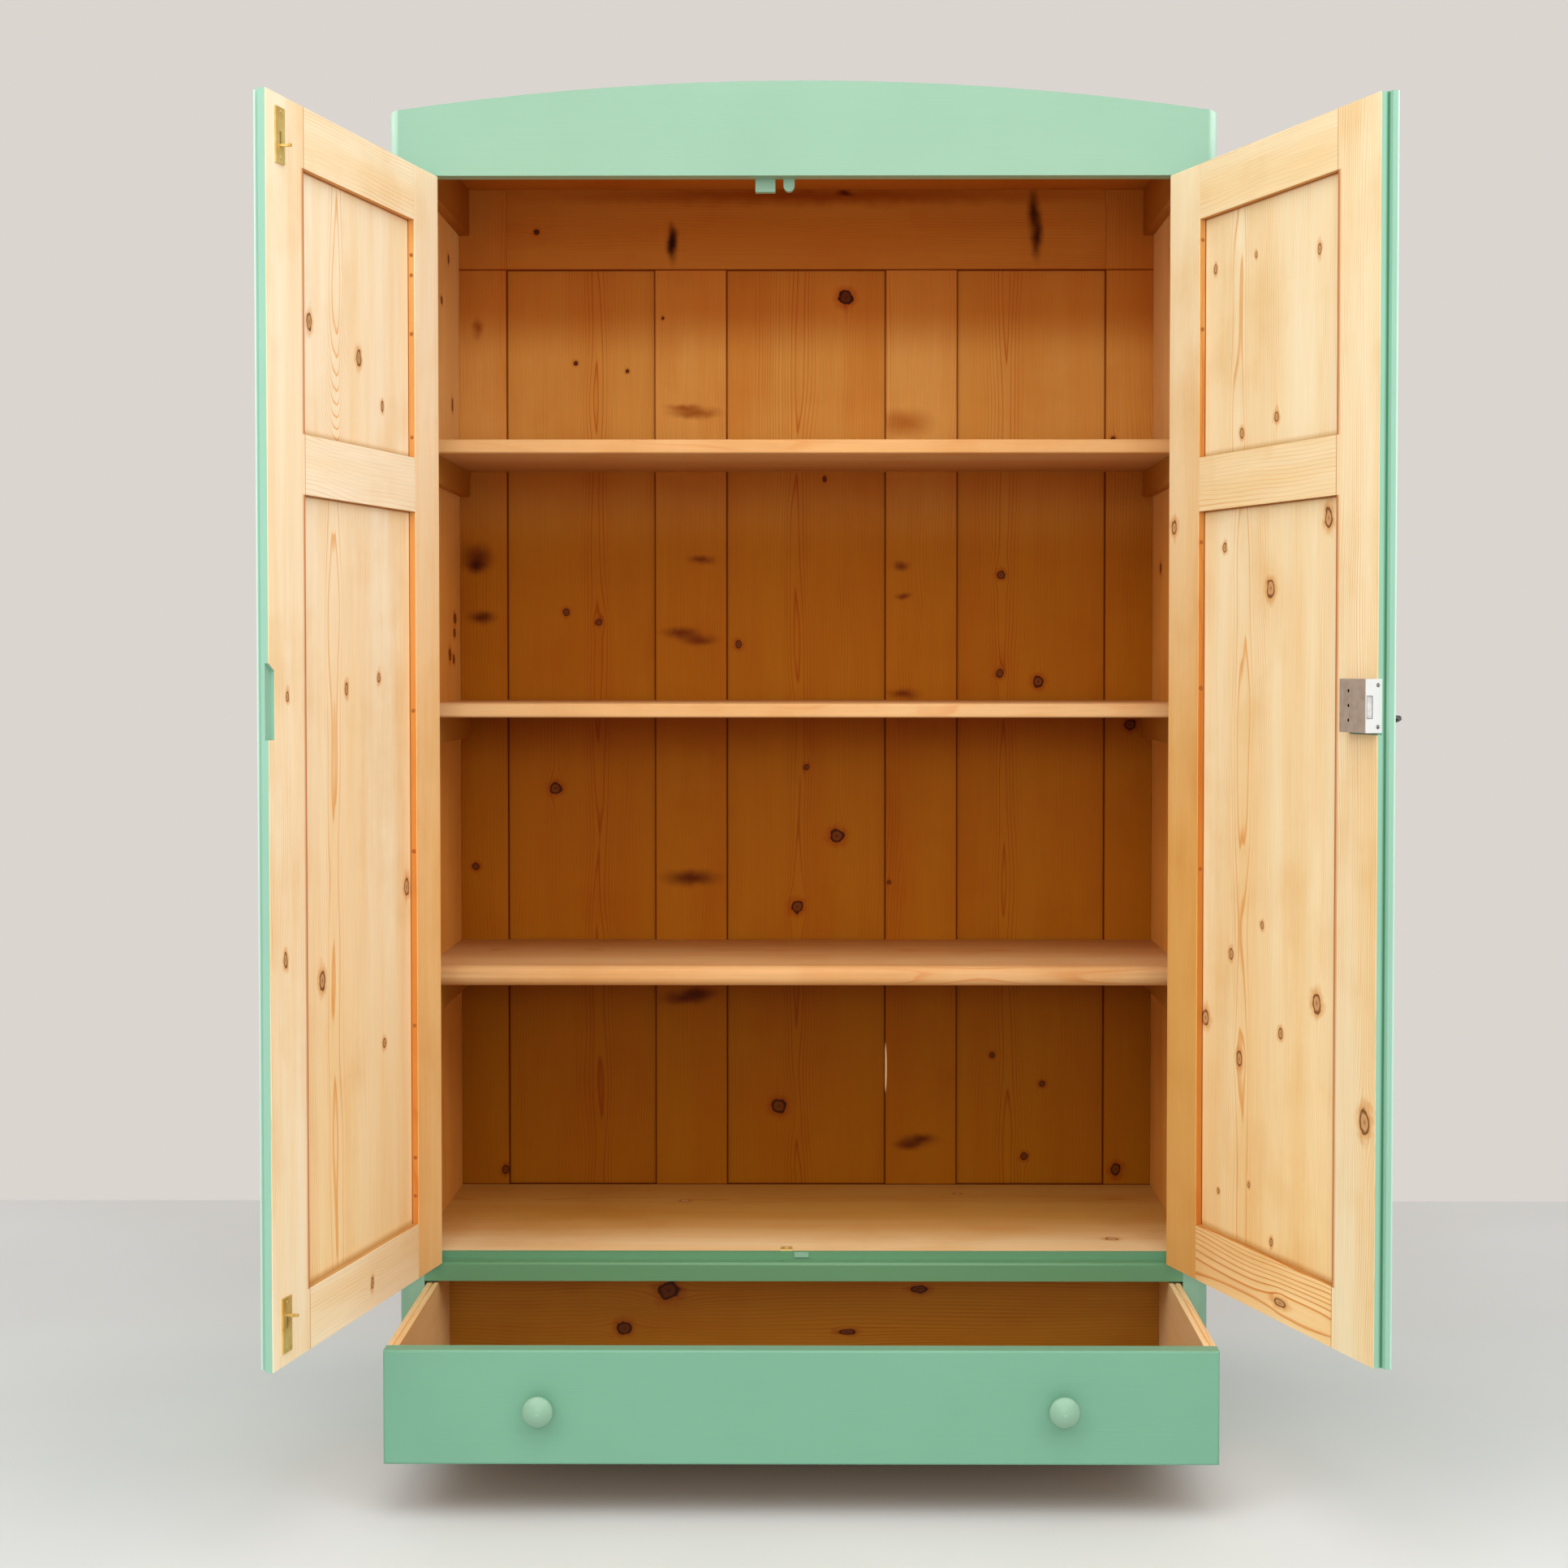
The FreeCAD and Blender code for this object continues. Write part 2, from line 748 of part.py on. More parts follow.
# Doors. Each piece is drawn with its door shut and measured from the hinge
# pin; the door's angle then swings it about the pin.

def turn_about(thing, axis, angle):
    thing.Placement.Rotation = FreeCAD.Rotation(axis, 1)
    bind(thing, "Placement.Rotation.Angle", angle)


def hang(thing, side):
    """Turn a piece about the hinge pin of its door."""
    place(thing, mirrored(side, "hinge_x"), "hinge_y", "0")
    angle = "0 - left_door_angle" if side == "left" else "right_door_angle"
    turn_about(thing, FreeCAD.Vector(0, 0, 1), angle)
    return keep(thing)


def laid_out(side, points):
    """Lay an outline out from the hinge pin of the left or the right door."""
    if side == "left":
        return points
    return [("0 - (%s)" % u, v) for u, v in points]


def make_hinge_stile(side):
    body = new_body(side + "_door_hinge_stile")
    outline = [("door_start", "door_outer_face"), ("panel_start", "door_outer_face"),
               ("panel_start", "door_panel_front"), ("panel_start - groove_depth", "door_panel_front"),
               ("panel_start - groove_depth", "door_panel_back"), ("panel_start", "door_panel_back"),
               ("panel_start", "door_inner_face"), ("door_start", "door_inner_face")]
    add_polygon(body, "XY", "door_foot", "door_height", laid_out(side, outline))
    hang(body, side)


def meeting_profile(side):
    """Half-lapped meeting edges: an inner tongue on the left and an outer lip on the right."""
    step = "door_outer_face + rebate_depth"
    if side == "left":
        edge = [("rebate_near", "door_outer_face"), ("rebate_near", step + " + rebate_play"),
                ("rebate_far", step + " + rebate_play"), ("rebate_far", "door_inner_face")]
    else:
        edge = [("rebate_far", "door_outer_face"), ("rebate_far", step),
                ("rebate_near", step), ("rebate_near", "door_inner_face")]
    return [("panel_end", "door_outer_face")] + edge + [
        ("panel_end", "door_inner_face"), ("panel_end", "door_panel_back"),
        ("panel_end + groove_depth", "door_panel_back"),
        ("panel_end + groove_depth", "door_panel_front"), ("panel_end", "door_panel_front")]


def cut_bolt_channels(body):
    """Bores and slots for the two flush bolts, at the head and foot of the left stile."""
    half = "(bolt_rod_radius + bolt_channel_play)"
    sides = ("rod_x - " + half, "rod_x + " + half)
    bore = "bolt_rod_radius + bolt_rod_play"
    reach = "(bolt_plate_end_distance + bolt_end_gap)"
    length = "bolt_plate_length - 2 * bolt_end_gap"
    depth = "(rod_y - %s)" % half
    for start in ("door_head - %s - (%s)" % (reach, length), "door_foot + " + reach):
        cut_polygon(body, "XY", start, length,
                    rectangle(sides[0], sides[1], depth, "door_inner_face + cut_overrun"))
    for start in ("door_head - %s - cut_overrun" % reach, "door_foot - cut_overrun"):
        cut_circle(body, "XY", start, reach + " + 2 * cut_overrun", ("rod_x", "rod_y"), bore)


def cut_lock_relief(body):
    """The chiselled hollow in the left door's edge that clears the lock."""
    foot = "lock_bottom - lock_relief_drop"
    head = "lock_bottom - lock_relief_drop + lock_relief_height"
    near_edge = "rebate_far - lock_relief_width"
    past = "rebate_far + cut_overrun"
    outline = [(near_edge, foot), (past, foot), (past, head),
               ("rebate_far", head), (near_edge, head + " - lock_relief_slope")]
    cut_polygon(body, "XZ", "door_inner_face - lock_relief_depth",
                "lock_relief_depth + cut_overrun", outline)


def cut_lock_seat(body):
    """The shallow seat of the lock and the keyhole through the right stile."""
    foot = "lock_bottom - lock_inlet_play"
    head = "lock_bottom + lock_height"
    far = "rebate_near - lock_length - lock_inlet_play"
    seat = rectangle(far, "rebate_near + cut_overrun", foot, head)
    cut_polygon(body, "XZ", "door_inner_face - lock_inlet", "lock_inlet + cut_overrun",
                laid_out("right", seat))
    lap = rectangle("lock_case_start", "rebate_near + cut_overrun", foot, head)
    cut_polygon(body, "XZ", "door_inner_face - lock_plate_lap", "lock_plate_lap + cut_overrun",
                laid_out("right", lap))
    through = ("door_outer_face - cut_overrun", "door_thickness + 2 * cut_overrun")
    cut_circle(body, "XZ", through[0], through[1], ("0 - key_x", "key_z"), "key_shank_radius + keyhole_play")
    slot = rectangle("key_x - keyhole_slot_width / 2", "key_x + keyhole_slot_width / 2",
                     "key_z - keyhole_slot_height", "key_z")
    cut_polygon(body, "XZ", through[0], through[1], laid_out("right", slot))


def make_meeting_stile(side):
    body = new_body(side + "_door_meeting_stile")
    add_polygon(body, "XY", "door_foot", "door_height", laid_out(side, meeting_profile(side)))
    edge = "rebate_near" if side == "left" else "rebate_far"
    x = amount(edge) if side == "left" else -amount(edge)
    y = amount("door_outer_face")
    round_edges(body, "door_edge_round", lambda begin, end: runs_along(begin, end, x, y))
    if side == "left":
        cut_bolt_channels(body)
        cut_lock_relief(body)
    else:
        cut_lock_seat(body)
    hang(body, side)


def make_door_rail(side, name, foot, head, groove_head, groove_foot):
    """A door rail with tenons at both ends and panel grooves on its open edges."""
    body = new_body("%s_door_%s_rail" % (side, name))
    points = [("door_outer_face", foot)]
    if groove_foot:
        points += [("door_panel_front", foot), ("door_panel_front", foot + " + groove_depth"),
                   ("door_panel_back", foot + " + groove_depth"), ("door_panel_back", foot)]
    points += [("door_inner_face", foot), ("door_inner_face", head)]
    if groove_head:
        points += [("door_panel_back", head), ("door_panel_back", head + " - groove_depth"),
                   ("door_panel_front", head + " - groove_depth"), ("door_panel_front", head)]
    points += [("door_outer_face", head)]
    length = "panel_end - panel_start"
    start = "panel_start" if side == "left" else "0 - panel_end"
    add_polygon(body, "YZ", start, length, points)
    tenon = rectangle("door_panel_front", "door_panel_back", foot + " + groove_depth",
                      head + " - groove_depth")
    add_polygon(body, "YZ", start + " - groove_depth + groove_play",
                "%s + 2 * (groove_depth - groove_play)" % length, tenon)
    hang(body, side)


def make_door_panel(side, name, foot, head):
    body = new_body("%s_door_%s_panel" % (side, name))
    lap = "groove_depth - groove_play"
    outline = rectangle("panel_start - (%s)" % lap, "panel_end + " + lap,
                        "%s - (%s)" % (foot, lap), "%s + %s" % (head, lap))
    add_polygon(body, "XZ", "door_panel_front", "door_panel_thickness", laid_out(side, outline))
    hang(body, side)


def make_door(side):
    make_hinge_stile(side)
    make_meeting_stile(side)
    make_door_rail(side, "top", "top_rail_foot", "door_head", False, True)
    make_door_rail(side, "middle", "middle_rail_foot", "middle_rail_head", True, True)
    make_door_rail(side, "bottom", "door_foot", "bottom_rail_head", True, False)
    make_door_panel(side, "upper", "middle_rail_head", "top_rail_foot")
    make_door_panel(side, "lower", "bottom_rail_head", "middle_rail_foot")


# Hinges, whose knuckles belong to the post and to the door by turns.

HINGE_FOOTS = ["door_foot + hinge_end_distance - hinge_length / 2",
               "(door_foot + door_head) / 2 - hinge_length / 2",
               "door_head - hinge_end_distance - hinge_length / 2"]
KNUCKLE_PITCH = "hinge_length / knuckle_count"


def knuckle_start(foot, index):
    return "%s + %d * %s + hinge_knuckle_play / 2" % (foot, index, KNUCKLE_PITCH)


def hinge_leaf(body, side, foot, leaf_side, indices):
    """One leaf, with a neck to each of its own knuckles."""
    leaf_to = "hinge_gap / 2"
    leaf_from = "hinge_gap / 2 - hinge_leaf_thickness"
    if leaf_side == "post":
        across_pair = ("0 - (%s)" % leaf_to, "0 - (%s)" % leaf_from)
    else:
        across_pair = (leaf_from, leaf_to)
    plate = rectangle(across_pair[0], across_pair[1], "hinge_leaf_start",
                      "hinge_leaf_start + hinge_leaf_width")
    add_polygon(body, "XY", foot, "hinge_length", laid_out(side, plate))
    length = "%s - hinge_knuckle_play" % KNUCKLE_PITCH
    for index in indices:
        start = knuckle_start(foot, index)
        neck = rectangle(across_pair[0], across_pair[1], "0", "hinge_leaf_start + hinge_leaf_thickness")
        add_polygon(body, "XY", start, length, laid_out(side, neck))
        add_circle(body, "XY", start, length, ("0", "0"), "hinge_knuckle_radius")


def make_hinges(side):
    post_pieces = []
    door_pieces = []
    knuckles = range(int(amount("knuckle_count")))
    post_knuckles = knuckles[0::2]
    door_knuckles = knuckles[1::2]
    for number, foot in enumerate(HINGE_FOOTS):
        fixed = new_body("%s_post_hinge_%d" % (side, number))
        hinge_leaf(fixed, side, foot, "post", post_knuckles)
        add_circle(fixed, "XY", foot + " + hinge_knuckle_play", "hinge_length - 2 * hinge_knuckle_play",
                   ("0", "0"), "hinge_pin_radius")
        place(fixed, mirrored(side, "hinge_x"), "hinge_y", "0")
        post_pieces.append(fixed)
        moving = new_body("%s_door_hinge_%d" % (side, number))
        hinge_leaf(moving, side, foot, "door", door_knuckles)
        for index in door_knuckles:
            cut_circle(moving, "XY", knuckle_start(foot, index) + " - cut_overrun",
                       "%s + 2 * cut_overrun" % KNUCKLE_PITCH, ("0", "0"),
                       "hinge_pin_radius + hinge_pin_play")
        door_pieces.append(moving)
    keep(gather(side + "_post_hinge_leaves", post_pieces))
    hang(gather(side + "_door_hinge_leaves", door_pieces), side)


# Flush bolts of the left door

def bolt_levels(end):
    """Foot of the plate, foot of the rod and foot of its knob."""
    gap = "bolt_plate_end_distance"
    if end == "upper":
        plate = "door_head - %s - bolt_plate_length" % gap
        rod = "door_head - bolt_end_gap - bolt_rod_length"
        knob = rod + " + bolt_knob_place"
        return plate, rod, knob
    plate = "door_foot + " + gap
    rod = "door_foot + bolt_end_gap"
    knob = rod + " + bolt_rod_length - bolt_knob_place - bolt_knob_length"
    return plate, rod, knob


def make_flush_bolt(end):
    plate_foot, rod_foot, knob_foot = bolt_levels(end)
    plate = new_body(end + "_bolt_plate")
    outline = rectangle("rod_x - bolt_plate_width / 2", "rod_x + bolt_plate_width / 2",
                        plate_foot, plate_foot + " + bolt_plate_length")
    add_polygon(plate, "XZ", "door_inner_face", "bolt_plate_thickness", outline)
    half = "(bolt_knob_width / 2 + bolt_knob_play)"
    run_down = "0" if end == "upper" else "bolt_travel"
    run_up = "bolt_travel" if end == "upper" else "0"
    slot = rectangle("rod_x - " + half, "rod_x + " + half,
                     "%s - %s - bolt_knob_play" % (knob_foot, run_down),
                     "%s + bolt_knob_length + %s + bolt_knob_play" % (knob_foot, run_up))
    cut_polygon(plate, "XZ", "door_inner_face - cut_overrun", "bolt_plate_thickness + 2 * cut_overrun", slot)
    hang(plate, "left")
    rod = new_body(end + "_bolt")
    add_circle(rod, "XY", rod_foot, "bolt_rod_length", ("rod_x", "rod_y"), "bolt_rod_radius")
    add_polygon(rod, "XY", knob_foot, "bolt_knob_length",
                rectangle("rod_x - bolt_knob_width / 2", "rod_x + bolt_knob_width / 2", "rod_y",
                          "door_inner_face + bolt_plate_thickness + bolt_knob_height"))
    hang(rod, "left")


# Lock of the right door

def make_lock_case():
    """A folded case open towards the door, with a face plate over the door's edge."""
    body = new_body("lock_case")
    foot = "lock_bottom"
    head = "lock_bottom + lock_height"
    far = "rebate_near - lock_length"
    seat = "door_inner_face - lock_inlet"
    case = rectangle(far, "lock_case_start", foot, head)
    add_polygon(body, "XZ", seat, "lock_projection + lock_inlet", laid_out("right", case))
    plate = rectangle("lock_case_start", "rebate_near", foot, head)
    add_polygon(body, "XZ", "door_inner_face - lock_plate_lap", "lock_projection + lock_plate_lap",
                laid_out("right", plate))
    hollow = rectangle(far + " + lock_wall", "lock_case_start", foot + " + lock_wall", head + " - lock_wall")
    cut_polygon(body, "XZ", seat + " - cut_overrun", "lock_projection + lock_inlet - lock_wall + cut_overrun",
                laid_out("right", hollow))
    slot_foot = "lock_bottom + lock_bolt_level - lock_bolt_play"
    slot = rectangle("lock_face - lock_wall - lock_bolt_play - lock_bolt_thickness - lock_bolt_play",
                     "lock_face - lock_wall", slot_foot,
                     slot_foot + " + lock_bolt_height + 2 * lock_bolt_play")
    cut_polygon(body, "YZ", "0 - rebate_near - cut_overrun", "lock_plate_thickness + 2 * cut_overrun", slot)
    for step in range(int(amount("lock_hole_count"))):
        cut_circle(body, "XZ", "lock_face - lock_wall - cut_overrun", "lock_wall + 2 * cut_overrun",
                   ("0 - key_x", "key_z + %d * lock_hole_spacing" % step), "lock_hole_radius")
    hang(body, "right")


def make_lock_bolt():
    body = new_body("lock_bolt")
    foot = "lock_bottom + lock_bolt_level"
    end = "rebate_near - lock_bolt_inset"
    outline = rectangle("%s - lock_bolt_length" % end, end, foot, foot + " + lock_bolt_height")
    add_polygon(body, "XZ", "lock_face - lock_wall - lock_bolt_play - lock_bolt_thickness",
                "lock_bolt_thickness", laid_out("right", outline))
    hang(body, "right")


def make_key():
    """Ring bow, shank and bit; the bow stands outside the door, turned almost level."""
    body = new_body("key_piece")
    tip = "lock_face - lock_wall - lock_bolt_play"
    collar = "door_outer_face - key_neck"
    add_circle(body, "XZ", collar, "%s - (%s)" % (tip, collar), ("0", "0"), "key_shank_radius")
    bow_y = "%s - key_bow_bore_radius - key_bow_thickness" % collar
    ring = new_sketch(body, "XY", "0 - key_bow_thickness / 2")
    draw_circle(ring, ("0", bow_y), "key_bow_radius")
    draw_circle(ring, ("0", bow_y), "key_bow_bore_radius")
    pad(body, ring, "XY", "key_bow_thickness")
    bit = rectangle("0 - key_shank_radius - key_bit_reach", "0", "0 - key_bit_thickness / 2",
                    "key_bit_thickness / 2")
    add_polygon(body, "XZ", "%s - key_bit_clearance - key_bit_depth" % tip, "key_bit_depth", bit)
    place(body, "0 - key_x", "0", "key_z")
    turn_about(body, FreeCAD.Vector(0, 1, 0), "key_turn")
    hang(gather("key", [body]), "right")


# Drawer, drawn shut and then moved out by its extension

def pull_out(thing):
    place(thing, "0", "drawer_face", "0")
    return keep(thing)


def make_drawer_front():
    body = new_body("drawer_front")
    outline = rectangle("0 - drawer_half", "drawer_half", "drawer_foot", "drawer_head")
    add_polygon(body, "XZ", "0", "drawer_front_thickness", outline)
    round_edges(body, "drawer_front_round", lambda begin, end: near(begin.y, 0) and near(end.y, 0))
    back = "drawer_front_thickness - drawer_bottom_lap"
    level = "drawer_foot + drawer_bottom_level"
    groove = rectangle("0 - drawer_inner_x - drawer_bottom_lap", "drawer_inner_x + drawer_bottom_lap",
                       level, level + " + drawer_bottom_thickness")
    cut_polygon(body, "XZ", back, "drawer_bottom_lap + cut_overrun", groove)
    pull_out(body)


def make_drawer_side(side):
    """A side with a groove for the bottom and a scratched line along its top edge."""
    body = new_body("drawer_side_" + side)
    level = "drawer_foot + drawer_bottom_level"
    lap = "drawer_inner_x + drawer_bottom_lap"
    scratch = "drawer_side_x - drawer_scratch_place"
    low = "drawer_head - drawer_scratch_depth"
    outline = [("drawer_inner_x", "drawer_foot"), ("drawer_side_x", "drawer_foot"),
               ("drawer_side_x", "drawer_head"), (scratch + " + drawer_scratch_width", "drawer_head"),
               (scratch + " + drawer_scratch_width", low), (scratch, low), (scratch, "drawer_head"),
               ("drawer_inner_x", "drawer_head"),
               ("drawer_inner_x", level + " + drawer_bottom_thickness"),
               (lap, level + " + drawer_bottom_thickness"), (lap, level), ("drawer_inner_x", level)]
    points = [(mirrored(side, u), v) for u, v in outline]
    add_polygon(body, "XZ", "drawer_front_thickness", "drawer_length - drawer_front_thickness", points)
    pull_out(body)


def make_drawer_back():
    body = new_body("drawer_back")
    foot = "drawer_foot + drawer_bottom_level + drawer_bottom_thickness"
    outline = rectangle("0 - drawer_inner_x", "drawer_inner_x", foot, "drawer_head")
    add_polygon(body, "XZ", "drawer_length - drawer_back_thickness", "drawer_back_thickness", outline)
    pull_out(body)


def make_drawer_bottom():
    body = new_body("drawer_bottom")
    half = "drawer_inner_x + drawer_bottom_lap - groove_play"
    front = "drawer_front_thickness - drawer_bottom_lap + groove_play"
    outline = rectangle("0 - (%s)" % half, half, front, "drawer_length")
    add_polygon(body, "XY", "drawer_foot + drawer_bottom_level", "drawer_bottom_thickness", outline)
    pull_out(body)


def make_knob(name, x):
    """A turned mushroom knob: a waisted neck, a rounded rim and a low dome."""
    body = new_body(name)
    sketch = new_sketch(body, "XY", "0")
    rim = "(knob_radius - knob_rim_round + sqrt(knob_rim_round^2 - knob_rim_height^2 / 4))"
    front = "0 - knob_projection + knob_dome_height"
    back = front + " + knob_rim_height"
    dome = "((%s^2 + knob_dome_height^2) / (2 * knob_dome_height))" % rim
    corners = [("0", "0"), ("0", "0 - knob_projection"), (rim, front), (rim, back),
               ("knob_waist_radius", "0 - knob_waist_place"), ("knob_neck_radius", "0")]
    half_way = (rim + " / 2", "0 - knob_projection + %s - sqrt(%s^2 - %s^2 / 4)" % (dome, dome, rim))
    rim_middle = ("knob_radius", front + " + knob_rim_height / 2")
    draw_outline(sketch, corners, [(1, dome, half_way), (2, "knob_rim_round", rim_middle)])
    turned = body.newObject("PartDesign::Revolution", name + "_turned")
    turned.Profile = sketch
    turned.ReferenceAxis = (sketch, ["V_Axis"])
    turned.Angle = FULL_TURN
    sketch.Visibility = False
    body.Tip = turned
    place(body, x, "0", "(drawer_foot + drawer_head) / 2")
    return body


def make_knobs():
    pair = [make_knob("knob_left", "0 - knob_spacing / 2"), make_knob("knob_right", "knob_spacing / 2")]
    pull_out(gather("drawer_knobs", pair))


def build():
    fill_sheet()
    for side in SIDES:
        make_post(side)
        make_side_board(side)
    make_crown_board()
    make_top()
    make_drawer_rail()
    make_floor_board()
    make_base_rail()
    make_runners()
    make_shelves()
    make_back()
    make_stops()
    make_peg()
    make_catch_plate()
    for side in SIDES:
        make_door(side)
        make_hinges(side)
    for end in ("upper", "lower"):
        make_flush_bolt(end)
    make_lock_case()
    make_lock_bolt()
    make_key()
    make_drawer_front()
    for side in SIDES:
        make_drawer_side(side)
    make_drawer_back()
    make_drawer_bottom()
    make_knobs()
    doc.recompute()


def check():
    """Stop before anything is written if an object or a solid is not sound."""
    for thing in doc.Objects:
        if "Invalid" in thing.State or "Error" in thing.State:
            raise RuntimeError("%s is in state %s" % (thing.Label, thing.State))
    for thing in SUB_PARTS:
        shape = thing.Shape
        if shape.isNull() or not shape.isValid() or not shape.Solids:
            raise RuntimeError("%s has no sound solid" % thing.Label)


def write():
    for thing in SUB_PARTS:
        thing.Shape.exportStep("parts/%s.step" % thing.Label)
        print(thing.Label, len(thing.Shape.Solids), round(thing.Shape.Volume))


build()
check()
write()
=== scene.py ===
"""Dress the linen cupboard: brushed green paint outside, waxed knotty pine inside, old brass and steel."""
import json
import math

import bmesh
import bpy
from bpy.props import FloatProperty, FloatVectorProperty, PointerProperty
from mathutils import Matrix, Vector


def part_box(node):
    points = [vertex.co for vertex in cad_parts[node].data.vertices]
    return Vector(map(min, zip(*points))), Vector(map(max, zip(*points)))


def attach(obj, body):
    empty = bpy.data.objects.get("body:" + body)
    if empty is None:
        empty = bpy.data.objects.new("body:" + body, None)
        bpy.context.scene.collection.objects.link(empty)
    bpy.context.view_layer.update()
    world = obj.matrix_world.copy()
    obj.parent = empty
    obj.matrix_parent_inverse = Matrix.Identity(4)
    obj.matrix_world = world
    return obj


bl_info = {
    "name": "Linen Cupboard",
    "version": (1, 0, 0),
    "blender": (4, 5, 0),
    "location": "View3D > Sidebar > Cupboard",
    "description": "Finishes a painted pine linen cupboard and lights it in a plain studio",
    "category": "Object",
}

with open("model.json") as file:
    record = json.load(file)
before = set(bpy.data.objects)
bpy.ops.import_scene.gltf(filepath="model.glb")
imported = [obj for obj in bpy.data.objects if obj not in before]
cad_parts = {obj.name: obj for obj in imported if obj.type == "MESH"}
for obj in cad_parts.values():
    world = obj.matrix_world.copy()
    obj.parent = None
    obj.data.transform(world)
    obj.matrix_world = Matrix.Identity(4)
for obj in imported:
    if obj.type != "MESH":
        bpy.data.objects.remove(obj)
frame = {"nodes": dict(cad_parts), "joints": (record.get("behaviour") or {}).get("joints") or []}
NODES = frame["nodes"]
MM = 0.001
X, Y, Z, ORIGIN = Vector((1, 0, 0)), Vector((0, 1, 0)), Vector((0, 0, 1)), Vector((0, 0, 0))

# Settings of nodes that come up again and again: two ways to mix colours, and a soft step.
BLENDED = {"data_type": "RGBA", "out": 2}
GLAZED = {"data_type": "RGBA", "blend_type": "MULTIPLY", "out": 2}
SMOOTH = {"interpolation_type": "SMOOTHSTEP"}

# How rough eggshell paint and waxed wood are, and how far from any knot a board without one lies.
PAINT_ROUGHNESS, WAX_ROUGHNESS = 0.38, 0.55
NO_KNOT = 9.0


def linear(hex_colour):
    """Turn an sRGB hex colour into the linear colour that nodes take."""
    channels = [int(hex_colour[place:place + 2], 16) / 255 for place in (1, 3, 5)]
    return [c / 12.92 if c <= 0.04045 else ((c + 0.055) / 1.055) ** 2.4 for c in channels] + [1.0]


def colour_setting(name, description, hex_colour):
    return FloatVectorProperty(name=name, description=description, subtype="COLOR", size=4,
                               min=0.0, max=1.0, default=linear(hex_colour))


class CupboardPaint(bpy.types.PropertyGroup):
    """The paint outside."""
    crown: colour_setting("Crown paint", "Eggshell paint of crown, posts, sides and knobs", "#82AA91")
    # The doors' paint is paler than the crown's, painted light so the lit door edges come out bright.
    doors: colour_setting("Door paint", "Paint of the doors, chalkier from handling", "#8DBAA4")
    # The drawer's and rails' paints are darker copies of the crown's: painted shade.
    drawer: colour_setting("Drawer paint", "Paint of the drawer's front", "#6FA288")
    rail: colour_setting("Rail paint", "Paint of the rails, rubbed darker", "#5B8E67")
    # The paint edge colour is a painted highlight, laid where rounded edges and ends catch the light.
    lip: colour_setting("Paint edge", "Paint that shines where it is thin on an edge", "#D2EEDF")
    brush_width: FloatProperty(name="Brush mark", description="Width of one mark of the brush",
                               default=1.6 * MM, min=0.5 * MM, max=5 * MM, unit="LENGTH")
    brush_length: FloatProperty(name="Brush stroke", description="Length of one stroke of the brush",
                                default=160 * MM, min=20 * MM, unit="LENGTH")


class CupboardPine(bpy.types.PropertyGroup):
    """The waxed pine inside."""
    fresh: colour_setting("Fresh pine", "Scraped and waxed pine of the left door", "#FFF2D6")
    honey: colour_setting("Honey pine", "Pine of the shelves, and of the back's outer side", "#D8AE7C")
    # Amber and copper are darker copies of the pine for painted shade: low down on the hinge stiles, and
    # amber on the right side, which gets less light than the left.
    amber: colour_setting("Amber pine", "Pine of the left hinge stile and the right side", "#F8CE8E")
    copper: colour_setting("Copper pine", "Pine of the right hinge stile, redder still", "#E1B064")
    tawny: colour_setting("Tawny pine", "Pine of the right door's bottom rail", "#FBDDA6")
    straw: colour_setting("Straw pine", "Scrubbed pine of the floor board and the drawer's sides", "#EBD0A2")
    # Golden stands for painted shade low down on the doors' lower panels; on the left side it is that side's
    # pine.
    golden: colour_setting("Golden pine", "Waxed pine of the left side, and low down on doors", "#FFDC98")
    wheat: colour_setting("Wheat pine", "Waxed pine of the right door, a little warmer", "#F2E4C0")
    aged: colour_setting("Aged pine", "Pine of the back, darkened with age", "#E2A24E")
    dusky: colour_setting("Dusky pine", "Pine where the light hardly reaches", "#A6630C")
    tan: colour_setting("Tan pine", "Narrow boards of the back, a little lighter", "#E7A958")
    # Umber is the pine in painted shade: bearers, cleats and runners, and the back of the floor board; the
    # drawer's bottom is umber too.
    umber: colour_setting("Umber pine", "Pine of bearers, runners and the floor's depth", "#B98840")
    russet: colour_setting("Russet pine", "Pine of the drawer's back, brown with age", "#A6721C")
    ring_spacing: FloatProperty(name="Ring spacing", description="Distance between two growth rings",
                                default=4.6 * MM, min=1 * MM, max=10 * MM, unit="LENGTH")


class CupboardMetal(bpy.types.PropertyGroup):
    """The metal fittings."""
    brass: colour_setting("Brass", "Old brass of the bolts and their plates", "#E6CB83")
    steel: colour_setting("Steel", "Dull steel of hinges and key", "#7C7A76")
    lock: colour_setting("Lock case", "Plated case of the lock, gone grey brown", "#B0A69C")
    selvedge: colour_setting("Lock edge", "Bright plated edge of the lock", "#DEDFDE")
    screw_radius: FloatProperty(name="Screw", description="Radius of a screw's head",
                                default=2.4 * MM, min=1 * MM, unit="LENGTH")


